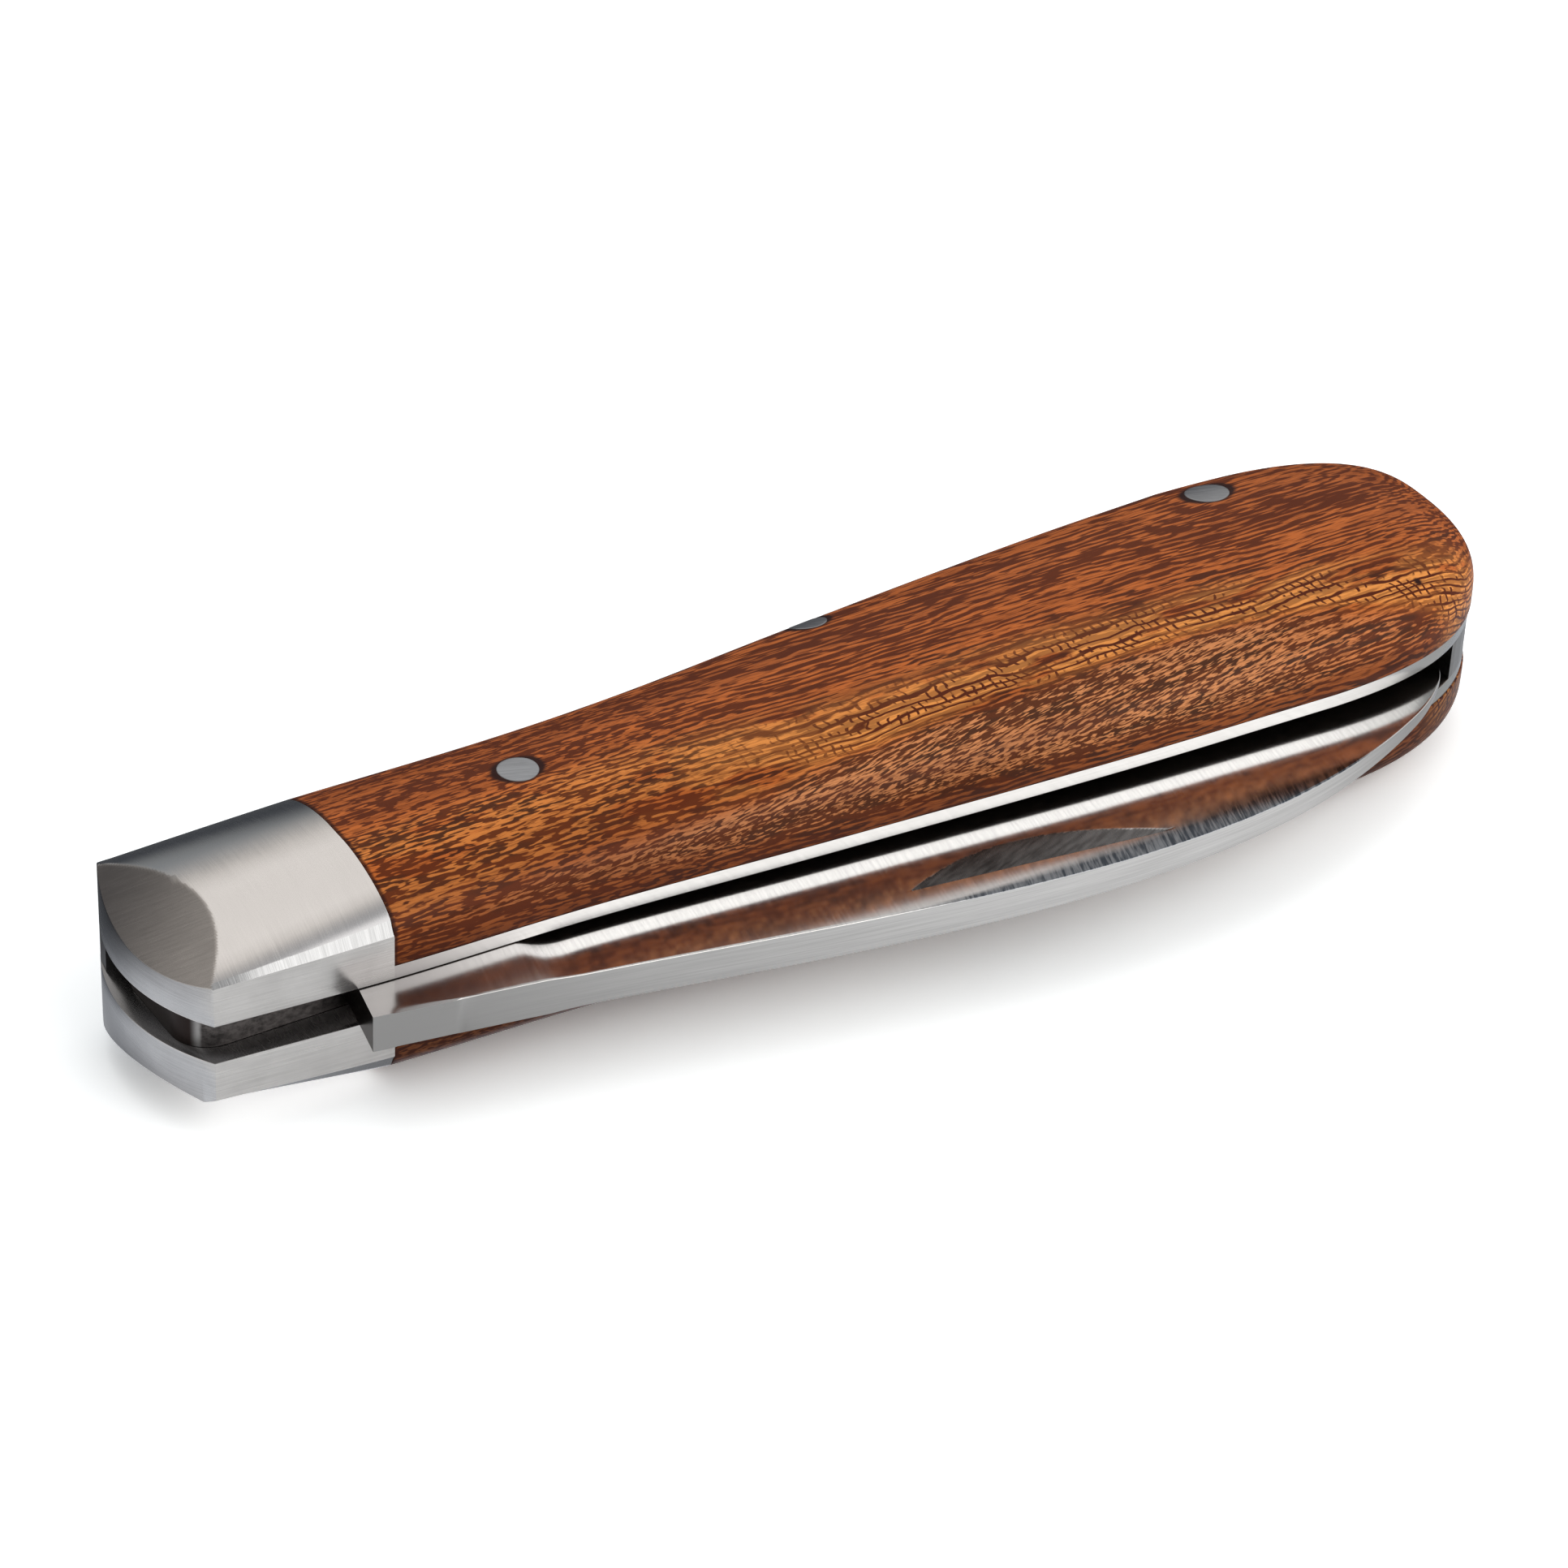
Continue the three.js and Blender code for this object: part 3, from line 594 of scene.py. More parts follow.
class Wire:
    """A shader socket that takes part in Python expressions."""

    def __init__(self, finish, socket):
        self.finish = finish
        self.socket = socket

    def maths(self, operation, *others):
        """A Math node with this value first."""
        return self.finish.maths(operation, self, *others)

    def __add__(self, other):
        return self.maths("ADD", other)

    def __radd__(self, other):
        return self.finish.maths("ADD", other, self)

    def __sub__(self, other):
        return self.maths("SUBTRACT", other)

    def __rsub__(self, other):
        return self.finish.maths("SUBTRACT", other, self)

    def __mul__(self, other):
        return self.maths("MULTIPLY", other)

    def __rmul__(self, other):
        return self.finish.maths("MULTIPLY", other, self)

    def __pow__(self, other):
        return self.maths("POWER", other)

    def without_sign(self):
        """This value without its sign."""
        return self.maths("ABSOLUTE")

    def sine(self):
        """Sine of this value, which is in radians."""
        return self.maths("SINE")

    def greater(self, other):
        """The greater of this value and another."""
        return self.maths("MAXIMUM", other)

    def toward(self, other, amount):
        """Runs from this value to the other as the amount runs from 0 to 1."""
        return self + (other - self) * amount

    def ramp(self, start, stop):
        """Runs smoothly from 0 to 1 while this value runs from start to stop."""
        settings = {"interpolation_type": "SMOOTHSTEP"}
        return self.finish.add("MapRange", settings, {0: self, 1: start, 2: stop})

    def moved(self, scale=1, turn=(0, 0, 0), shift=(0, 0, 0)):
        """These coordinates scaled, turned by degrees and shifted."""
        sockets = {
            "Vector": self,
            "Location": shift,
            "Rotation": tuple(math.radians(angle) for angle in turn),
            "Scale": scale if isinstance(scale, tuple) else (scale,) * 3,
        }
        return self.finish.add("Mapping", None, sockets)

    def part(self, axis):
        """X, Y or Z of these coordinates."""
        return self.finish.add("SeparateXYZ", None, {0: self}, axis)

    def noise(self, detail, roughness=0.5):
        """Cloudy noise from 0 to 1 over these coordinates."""
        sockets = {"Vector": self, "Scale": 1.0, "Detail": detail, "Roughness": roughness}
        return self.finish.add("TexNoise", None, sockets)


class Finish:
    """A material that is put together from nodes."""

    def __init__(self, name):
        self.material = bpy.data.materials.new(name)
        self.material.use_nodes = True
        self.tree = self.material.node_tree
        self.tree.nodes.clear()
        self.place = self.add("TexCoord", output="Object").moved(PER_METRE, shift=tuple(-TO_FRAME))

    def add(self, kind, settings=None, sockets=None, output=0):
        """Any node: its settings, then the values or wires of its sockets."""
        node = self.tree.nodes.new("ShaderNode" + kind)
        for key, value in (settings or {}).items():
            setattr(node, key, value)
        for key, value in (sockets or {}).items():
            if isinstance(value, Wire):
                self.tree.links.new(value.socket, node.inputs[key])
            else:
                node.inputs[key].default_value = value
        return None if output is None else Wire(self, node.outputs[output])

    def maths(self, operation, *values):
        """A Math node with these values."""
        return self.add("Math", {"operation": operation}, dict(enumerate(values)))

    def blend(self, factor, a, b, mode="MIX"):
        """Colour a where factor is 0, colour b where it is 1."""
        settings = {"data_type": "RGBA", "blend_type": mode}
        paint = lambda value: value if isinstance(value, Wire) else (*value, 1.0)
        return self.add("Mix", settings, {0: factor, 6: paint(a), 7: paint(b)}, 2)

    def mark(self, name):
        """A mark that was written on the points of a piece."""
        return self.add("Attribute", {"attribute_name": name}, None, 2)

    def facing(self, axis):
        """X, Y or Z of the surface's direction."""
        return self.add("TexCoord", None, None, "Normal").part(axis)

    def bump(self, height, strength, distance):
        """Normal of a surface that rises with height; distance in millimetres."""
        sockets = {"Height": height, "Strength": strength, "Distance": distance / PER_METRE}
        return self.add("Bump", None, sockets)

    def output(self, surface):
        """Ends the tree with a surface and gives the material."""
        self.add("OutputMaterial", None, {"Surface": surface}, None)
        return self.material

    def close(self, **sockets):
        """Ends the tree with a principled surface and gives the material."""
        named = {SOCKETS[key]: value for key, value in sockets.items()}
        return self.output(self.add("BsdfPrincipled", None, named))


SOCKETS = {
    "colour": "Base Color",
    "metal": "Metallic",
    "roughness": "Roughness",
    "normal": "Normal",
    "coat": "Coat Weight",
    "coat_roughness": "Coat Roughness",
    "specular": "Specular IOR Level",
}


def brushed(finish, scale, turn=(0, 0, 0)):
    """Fine lines of brushing: noise that is stretched along them."""
    return finish.place.moved(turn=turn).moved(scale=scale).noise(3.0, 0.6)


def shades(plain, *factors):
    """A colour at several strengths."""
    return [tuple(factor * value for value in plain) for factor in factors]


def dome_highlight_and_shade(finish, colours, tone, facet):
    """Painted highlight along the middle; painted shade, cool and dark, at the back and over
    the bevel. The facet keeps the plain steel."""
    y = finish.place.part(1)
    domed = 1 - facet
    paint = finish.blend(tone, *shades(colours.steel, 0.86, 1.1))
    # bright is a painted highlight along the middle of the dome
    bright = finish.blend(tone, *shades(colours.dome, 0.94, 1.0))
    paint = finish.blend(domed * y.ramp(-6.4, -4.8) * (1 - y.ramp(-1.0, 2.0)), paint, bright)
    paint = finish.blend(domed * y.ramp(0.4, 3.6) * 0.9, paint, colours.dome_back_shade)
    return finish.blend(domed * (1 - y.ramp(-6.5, -5.5)) * 0.7, paint, colours.dome_foot_shade)


def satin(finish, colours):
    """Satin steel: domes are brushed across, the facet askew, upright sides along, by
    the marks and the direction of the surface. Painted highlight and shade lie over the
    domes, bevels, convex ends and facet. Gives colour, lines."""
    x, y, z = (finish.place.part(axis) for axis in range(3))
    facet = finish.mark("facet")
    upright = 1 - finish.facing(2).without_sign().ramp(0.15, 0.3)
    across = brushed(finish, (13.0, 0.3, 0.3))
    askew = brushed(finish, (0.45, 9.0, 0.45), (0, 0, 28))
    along = brushed(finish, (0.2, 0.2, 11.0))
    lines = across.toward(askew, facet).toward(along, upright)
    clouds = finish.place.moved(0.4).noise(3.0, 0.6)
    tone = lines.ramp(0.25, 0.75) * 0.65 + clouds.ramp(0.3, 0.7) * 0.35

    side = finish.blend(tone, *shades(colours.side, 0.84, 1.1))
    paint = finish.blend(upright, dome_highlight_and_shade(finish, colours, tone, facet), side)
    # Painted shade on the bevels, darkest on the lower bolster's, which face down
    bevel = finish.blend(lines.ramp(0.3, 0.7), *shades(colours.bevel, 0.8, 1.12))
    bevel = finish.blend(1 - z.ramp(-1.0, 1.0), bevel, colours.under_bevel_shade)
    paint = finish.blend(finish.mark("bevel") * (1 - upright), paint, bevel)
    # Painted shade on the convex ends, deeper towards the back
    end = (finish.facing(0) * -1).ramp(0.4, 0.7) * upright
    end = finish.blend(end * y.ramp(-5.0, 7.0), (1.0, 1.0, 1.0), colours.end_shade)
    paint = finish.blend(1.0, paint, end, "MULTIPLY")
    # Painted shade across the facet, darkest at its back corner
    facet_shade_across = (x * 0.4 - y * 0.6).ramp(-4.0, 4.5)
    shade = finish.blend(facet_shade_across, colours.facet_back_shade, colours.facet_front_shade)
    return finish.blend(facet, paint, finish.blend(1.0, paint, shade, "MULTIPLY")), lines


def bolster_finish(colours):
    """Satin steel all over, with painted highlight and shade."""
    finish = Finish("satin_bolster_steel")
    paint, lines = satin(finish, colours)
    return finish.close(
        colour=paint,
        metal=1.0,
        roughness=0.25 + (lines - 0.5) * 0.14,
        normal=finish.bump(lines, 0.3, 0.003),
    )


def liner_finish(colours, joint, inner):
    """Ground edges, nearly white along the wood; beside the bolsters both are one face.
    Painted shade darkens the sides in the slot, and the edges near the bolsters and at the pommel."""
    finish = Finish("ground_liner_steel")
    paint, lines = satin(finish, colours)
    x, height = finish.place.part(0), finish.place.part(2).without_sign()
    wood = x.ramp(joint - 0.05, joint + 0.05)
    along = brushed(finish, (0.12, 0.12, 8.0))
    bright = finish.blend(along.ramp(0.25, 0.6), *shades(colours.liner, 0.93, 1.0))
    # Painted shade on the edges near the bolsters and at the pommel
    bright = finish.blend(x.ramp(joint, joint + 16), colours.liner_joint_shade, bright)
    bright = finish.blend(x.ramp(78.0, 96.0), bright, colours.liner_pommel_shade)
    lines = lines.toward(along, wood)
    # Painted shade on the sides in the slot
    inside = 1 - height.ramp(inner + 0.01, inner + 0.04)
    slot = finish.blend(x.ramp(8.0, 14.0), colours.slot_end_shade, colours.slot)
    return finish.close(
        colour=finish.blend(inside, finish.blend(wood, paint, bright), slot),
        metal=1.0,
        roughness=0.26 - 0.04 * wood + (lines - 0.5) * 0.12,
        normal=finish.bump(lines, 0.25, 0.003),
    )


def face_paint(finish, colours, x, cross):
    """Polished faces with painted shade in the step. Crosswise grinding marks lie beside the back.
    """
    paint = finish.blend(cross.ramp(0.25, 0.75), *shades(colours.blade, 0.9, 1.04))
    # Painted shade in the step
    paint = finish.blend(x.ramp(10.0, 24.0), colours.blade_step_shade, paint)
    marks = brushed(finish, (5.0, 0.4, 0.4), (0, 0, 20)).ramp(0.36, 0.64)
    marks = finish.blend(marks, colours.marks_dark, colours.marks_light)
    return finish.blend(finish.mark("near_back"), paint, marks)


def back_paint(finish, colours, x, lines):
    """Satin back with a painted highlight towards the hump and painted shade at the point and the
    step.
    """
    tone = lines.ramp(0.2, 0.8)
    paint = finish.blend(tone, *shades(colours.back, 0.84, 1.1))
    # bright is a painted highlight towards the hump
    bright = finish.blend(tone, *shades(colours.back, 1.08, 1.4))
    paint = finish.blend(x.ramp(30.0, 60.0), paint, bright)
    paint = finish.blend(x.ramp(72.0, 92.0), paint, colours.back_point_shade)
    return finish.blend(x.ramp(10.0, 36.0), colours.back_step_shade, paint)


def tang_paint(finish, colours, x, grit):
    """Rough steel darkened as painted shade in the slot, with a painted highlight on one corner and
    the deepest painted shade beside the step.
    """
    # corner marks where a highlight is painted, in the back's steel
    corner = (finish.facing(0) * finish.facing(1)).ramp(0.46, 0.5)
    paint = finish.blend(grit.ramp(0.35, 0.65), *shades(colours.tang, 0.5, 1.3))
    paint = finish.blend(corner * 0.7, paint, colours.back)
    return finish.blend(x.ramp(7.0, 12.0) * 0.85, paint, colours.tang_deep_shade)


def nick_paint(finish, colours, x):
    """Dull streaks with painted shade in the hollow, lightened towards the point as painted light.
    """
    streak = brushed(finish, (0.5, 3.0, 3.0), (0, 0, -20)).ramp(0.3, 0.7)
    light = x.ramp(52.0, 64.0) * 0.5 + streak * 0.5
    return finish.blend(light, colours.nick_shade, colours.nick_lit)


def blade_finish(colours):
    """Polished steel with crosswise lines on the faces and lengthwise ones on the back,
    by the marks and the direction of the surface. The step's end face is dark with painted shade."""
    finish = Finish("polished_blade_steel")
    x = finish.place.part(0)
    nick, tang = finish.mark("nick"), finish.mark("tang")
    back = 1 - finish.facing(2).without_sign().ramp(0.3, 0.6)
    shoulder = (finish.facing(0) * -1).ramp(0.6, 0.8)
    cross = brushed(finish, (6.0, 0.35, 0.35), (0, 0, 12))
    lines = brushed(finish, (0.14, 0.14, 9.0))
    grit = finish.place.moved((1.6, 1.6, 2.4)).noise(4.0, 0.7)
    face = face_paint(finish, colours, x, cross)
    paint = finish.blend(back, face, back_paint(finish, colours, x, lines))
    paint = finish.blend(nick, paint, nick_paint(finish, colours, x))
    paint = finish.blend(tang, paint, tang_paint(finish, colours, x, grit))
    # Painted shade on the step's end face
    paint = finish.blend(shoulder * back, paint, colours.shoulder)
    rough = (0.22 - 0.09 * finish.mark("ground") + 0.14 * nick).toward(0.3, back)
    return finish.close(
        colour=paint,
        metal=1.0,
        roughness=rough.toward(0.4, tang) + (cross - 0.5) * 0.05,
        normal=finish.bump(cross.toward(lines, back) + grit * tang * 3, 0.12, 0.003),
    )


def pin_finish(colours):
    """Steel brushed askew, with a dark ring round it."""
    finish = Finish("brushed_pin_steel")
    lines = brushed(finish, (0.5, 6.0, 2.0), (0, 0, 24))
    rim = finish.mark("rim")
    paint = finish.blend(lines.ramp(0.25, 0.75), *shades(colours.pin, 0.75, 1.0))
    return finish.close(
        colour=finish.blend(rim, paint, colours.rim),
        metal=1.0 - rim.ramp(0.3, 1.0),
        roughness=0.33 + (lines - 0.5) * 0.2,
        normal=finish.bump(lines, 0.3, 0.004),
    )


def spring_finish(colours):
    """Satin steel brushed along, darkened as painted shade in the slot."""
    finish = Finish("satin_spring_steel")
    lines = brushed(finish, (0.16, 0.16, 8.0))
    return finish.close(
        # Painted shade: a darker copy of the blade back's steel
        colour=finish.blend(lines.ramp(0.2, 0.8), *shades(colours.back, 0.24, 0.38)),
        metal=1.0,
        roughness=0.36 + (lines - 0.5) * 0.15,
        normal=finish.bump(lines, 0.3, 0.004),
    )


def wood_zones(place):
    """Where the grain changes, and where sheen is painted: left runs from the bolsters to
    the waist, top lies behind the crown, gold on the shoulder in front of it, and the
    painted rosy sheen on the front side below."""
    x, y, z = (place.part(axis) for axis in range(3))
    height = z.without_sign()
    drift = place.moved((0.04, 0.16, 0.16)).noise(2.0) - 0.5
    ripple = place.moved((0.35, 0.7, 0.7)).noise(2.0) - 0.5
    level = y + drift * 3.0 + x.ramp(68.0, 92.0) ** 2.0 * 3.2
    left = 1 - x.ramp(26.0, 50.0)
    patches = place.moved((0.16, 0.6, 0.6), shift=(3, 9, 2)).noise(2.0).ramp(0.36, 0.48)
    gold = level.ramp(-7.6, -6.2) * (1 - (level - left * 2.0).ramp(-4.6, -1.4)) * patches
    # Painted rosy sheen low on the front side
    rose_sheen = (1 - level.ramp(-8.0, -6.8)) * height.ramp(2.8, 5.0) * 0.8
    return SimpleNamespace(
        x=x,
        y=y,
        z=z,
        height=height,
        ripple=ripple,
        level=level,
        left=left,
        top=level.ramp(-3.0, 1.0),
        gold=gold * (1 - 0.5 * left),
        rose_sheen=rose_sheen * (1 - 0.6 * x.ramp(72.0, 88.0)),
        across=y * 0.85 + height * 1.2 + drift * 5.0 + ripple * 0.9,
    )


def wood_dashes(place, zones, fine):
    """Brown lines along the wood, broken into dashes: shortest towards the bolsters and
    leaning where the rosy sheen is painted, with finer and fainter ones between them."""
    left, rose_sheen = zones.left, zones.rose_sheen
    short = place.moved((0.95, 4.6, 4.6), shift=(7, 3, 1)).noise(1.0) - 0.5
    lasting = place.moved((0.4, 4.4, 4.4), shift=(2, 6, 4)).noise(1.0) - 0.5
    turned = place.moved(turn=(0, 7, -7))
    leaning = turned.moved((1.1, 7.8, 7.8), shift=(1, 8, 3)).noise(1.0) - 0.5
    broad = place.moved((0.06, 0.7, 0.7), shift=(2, 2, 6)).noise(2.0) - 0.5
    breaks = lasting.toward(short, left.greater(0.35 - 0.35 * zones.top)).toward(leaning, rose_sheen)
    rings = (zones.across * 12.0).sine()
    lines = rings * (0.16 - 0.1 * rose_sheen) + breaks * (1.5 + 0.6 * left + 0.8 * rose_sheen)
    lines = (lines + broad * 0.7 + 0.02 * left).ramp(-0.13, 0.07)
    dark = (lines * 0.92).greater(fine.ramp(0.48, 0.6) * 0.4)
    return dark * (1 - 0.45 * zones.gold * (1 - left))


def wood_ladder(place, zones):
    """Thin lines and rungs between them, in the gold zone behind the waist."""
    gaps = place.moved((0.45, 1.2, 1.2), shift=(4, 1, 7)).noise(1.0).ramp(0.46, 0.52)
    steps = zones.x * 9.0 + zones.y * 1.5 + zones.ripple * 14.0
    rungs = steps.sine().ramp(0.45, 0.8) * gaps
    strings = (zones.across * 9.0).sine().ramp(0.35, 0.75)
    return rungs.greater(strings) * zones.gold * (1 - zones.left)


def wood_shade_and_joints(finish, zones, handle, pins):
    """Painted shade at the foot and over the underside, and the wood's own dark places:
    the joint, a rim round each pin and a small knot."""
    place = finish.place
    # Painted shade near the foot, and stronger over the underside of the lower cover
    foot = 1 - zones.height.ramp(handle.foot + 0.1, handle.foot + 2.2)
    foot = foot.greater((1 - zones.z.ramp(-3.0, -1.0)) * 1.4)
    joint = 1 - zones.x.ramp(handle.size.bolster + 0.1, handle.size.bolster + 0.35)
    deep = (foot * 0.5).greater(joint * 0.85)
    for x, y, radius in pins:
        reach = place.moved((0.75, 1.0, 0.0), shift=(-0.75 * x, -y, 0))
        away = finish.add("VectorMath", {"operation": "LENGTH"}, {0: reach}, 1)
        deep = deep.greater(1 - away.ramp(0.9 * radius, 1.15 * radius))
    away = finish.add("VectorMath", {"operation": "DISTANCE"}, {0: place, 1: KNOT}, 1)
    return deep.greater(1 - away.ramp(0.15, 0.45))


def wood_finish(colours, handle, pins):
    """Reddish-brown hardwood. Fine brown lines run along it, broken into dashes. The
    shoulder in front of the crown is golden, with a ladder of thin lines and rungs;
    below it the front side has a painted rosy sheen, and painted shade darkens its
    foot, the underside and the front near the bolsters."""
    finish = Finish("oiled_hardwood")
    place = finish.place
    zones = wood_zones(place)
    fine = place.moved((0.8, 9.0, 9.0), shift=(1, 5, 8)).noise(1.0)
    dashes = wood_dashes(place, zones, fine)
    ladder = wood_ladder(place, zones)
    cluster = place.moved((0.25, 1.1, 1.1), shift=(2, 2, 6)).noise(2.0).ramp(0.44, 0.58)
    bands = place.moved((0.03, 0.5, 0.5), shift=(6, 1, 2)).noise(2.0).ramp(0.46, 0.62)
    # corner: painted shade low on the front near the bolsters
    corner = zones.left * (1 - zones.level.ramp(-7.0, -3.0))

    paint = finish.blend(zones.gold, colours.wood, colours.gold)
    # Painted rosy sheen
    paint = finish.blend(zones.rose_sheen, paint, colours.rose_sheen)
    darkest = cluster.greater(zones.rose_sheen * 0.55) * (1 - 0.85 * zones.top)
    paint = finish.blend(dashes, paint, finish.blend(darkest, colours.streak, colours.vein_and_shade))
    # shade: the grain's broad dark bands, and the painted shade of corner
    shade = (bands * (1 - zones.gold) * 0.3).greater(corner * 0.45)
    paint = finish.blend(shade, paint, colours.streak)
    paint = finish.blend(ladder, paint, colours.streak)
    # Painted shade at the foot and underside, and the dark joint, pin rims and knot
    paint = finish.blend(wood_shade_and_joints(finish, zones, handle, pins), paint, colours.vein_and_shade)
    return finish.close(
        colour=paint,
        roughness=0.34 + dashes * 0.1,
        specular=0.07,
        coat=0.03,
        coat_roughness=0.15,
        normal=finish.bump(fine * 0.3 - dashes * 0.6 - ladder * 0.4, 0.3, 0.02),
    )


def handle_of(context):
    """The handle at its present sizes."""
    return Handle(sizes(context.scene.knife_handle))


def pin_places(handle, size):
    """Where the pins and rivets stand: x, y and radius."""
    end_x = handle.size.end - size.end_pin_at
    middle_y = float(handle.back(size.middle_at)) - size.middle_inset
    return {
        "rivet": (handle.size.bolster + size.rivet_at, size.rivet_off, size.rivet),
        "middle": (size.middle_at, middle_y, size.middle_pin),
        "end": (end_x, float(handle.back(end_x)) - size.end_pin_inset, size.end_pin),
    }


def edge_rows(near, count):
    """Shares from 0 to 1, close together within near of both ends."""
    close = near * np.array([0, 0.08, 0.3, 0.6, 1.0])
    inner = np.linspace(near, 1 - near, count)[1:-1]
    return np.concatenate([close, inner, 1 - close[::-1]])


def bolster_points(handle, corner, radius):
    """Top of a bolster as a grid. Across: shares of the way in from the front wall, over
    the crown, to the back wall. Along: from the convex end to the joint. The height is
    the lower of the dome and the facet, and drops at the rounded ends. Gives the points
    and the marks of the facet and of the bevels."""
    size = handle.size
    # Lines up to 1 lie on the bevel, those from 1 to 2 on the dome, closest at its foot
    inner = (np.linspace(0, 1, 40) ** 1.4)[1:]
    front = np.concatenate([[0, 0.04, 0.5, 0.96, 1.0], 1 + inner])
    side = np.concatenate([-np.ones(len(front)), np.ones(len(front))])[None, :]
    line = np.concatenate([front, front[::-1]])[None, :]

    def spot(x):
        _, _, reach = handle.section(x, side, 0.0)
        bevel = handle.bevel(x) / reach
        way = np.where(line <= 1, bevel * line, mix(bevel, 1, line - 1))
        return handle.section(x, side, way)[1], way, bevel

    # The end's x follows from y and y follows from x, so both settle in a few rounds
    end = np.zeros_like(side, float)
    for _ in range(12):
        end = handle.end_line(spot(end)[0])
    x = mix(end, size.bolster, edge_rows(near=0.006, count=90)[:, None])
    y, way, bevel = spot(x)
    dome = handle.dome(x, side, way)
    flat = mix(handle.wall(x), handle.dome(x, side, bevel), way / bevel)
    top = np.where(way < bevel, flat, dome)
    facet = corner + size.facet_rise * x + size.facet_tilt * (y + size.corner_front)
    z = soft_min(top, facet, FACET_BLEND)
    z = z - rounded(x - end, radius) - rounded(size.bolster - x, radius)
    on_facet = share(top - facet, -FACET_FADE, FACET_FADE)
    within = np.broadcast_to((line > 0.02) & (line < 0.98), z.shape)
    marks = {"facet": on_facet, "bevel": within * (1 - on_facet)}
    return np.stack(np.broadcast_arrays(x, y, z), -1), marks


def wood_points(handle, radius):
    """A wood cover as closed sections: each runs from the front foot up the wall, over
    the dome and down to the back foot. The sections turn round the pommel."""
    size = handle.size
    grip = np.concatenate([
        size.bolster + radius * np.array([0, 0.1, 0.35, 1.0]),
        np.linspace(size.bolster, handle.swell_at, 150)[1:-1],
    ])
    turn = np.sin(np.linspace(0, 1, 70) * math.pi / 2) ** (2 / size.pommel_front)
    x = np.concatenate([grip, mix(handle.swell_at, size.end, turn)])[:, None]
    # Lines over the dome, closest at its foot
    way = (np.linspace(0, 1, 44) ** 1.7)[None, :]
    # Rounded edge of the foot, then the middle of the wall: steps inwards and heights
    halfway = (handle.wall(x) - handle.foot) / 2
    foot = [(0.12, 0.0), (0.03, 0.03), (0.0, 0.12), (0.0, halfway)]
    halves = []
    for side in (-1, 1):
        px, py, reach = handle.section(x, side, way)
        parts = []
        for step, height in foot:
            foot_x, foot_y, _ = handle.section(x, side, step / reach)
            foot_z = handle.foot + height
            parts.append(np.stack(np.broadcast_arrays(foot_x, foot_y, foot_z), -1))
        parts.append(np.stack([px, py, handle.dome(x, side, way)], -1))
        halves.append(np.concatenate(parts, 1))
    points = np.concatenate([halves[0], halves[1][:, ::-1]], 1)
    drop = rounded(x - size.bolster, radius)[:, :, None] * np.array([0, 0, 1])
    above = points[:, :, 2:] > handle.foot + radius
    return points - drop * above


def round_top(handle, place):
    """A pin's end: a disc that follows the dome a little above it, with a rounded rim."""
    px, py, radius = place
    spread = np.array([0, 0.3, 0.55, 0.75, 0.88, 0.94, 0.965, 0.985, 0.995, 1.0])
    angle = np.linspace(0, 2 * math.pi, 72, endpoint=False)
    x = px + radius * spread[:, None] * np.cos(angle)
    y = py + radius * spread[:, None] * np.sin(angle)
    drop = rounded(radius * (1 - spread[:, None]), PIN_ROUNDING)
    z = handle.height(x, y) + PIN_PROUD - drop
    rim = np.broadcast_to(share(spread, 0.955, 0.985)[:, None], z.shape)
    return np.stack([x, y, z], -1), rim


def pin_body(handle, place, low=None):
    """A pin from its upper end down to a level, or through to a mirrored end. Gives its
    points, its faces and the mark of its rim."""
    top, rim = round_top(handle, place)
    if low is None:
        rings = np.concatenate([top, mirrored(top)[::-1]])
        rims = np.concatenate([rim, rim[::-1]])
    else:
        last = top[-1:].copy()
        last[:, :, 2] = low
        rings = np.concatenate([top, last])
        rims = np.concatenate([rim, rim[-1:]])
    points, faces = between_rings(rings)
    return points, faces, {"rim": rims}


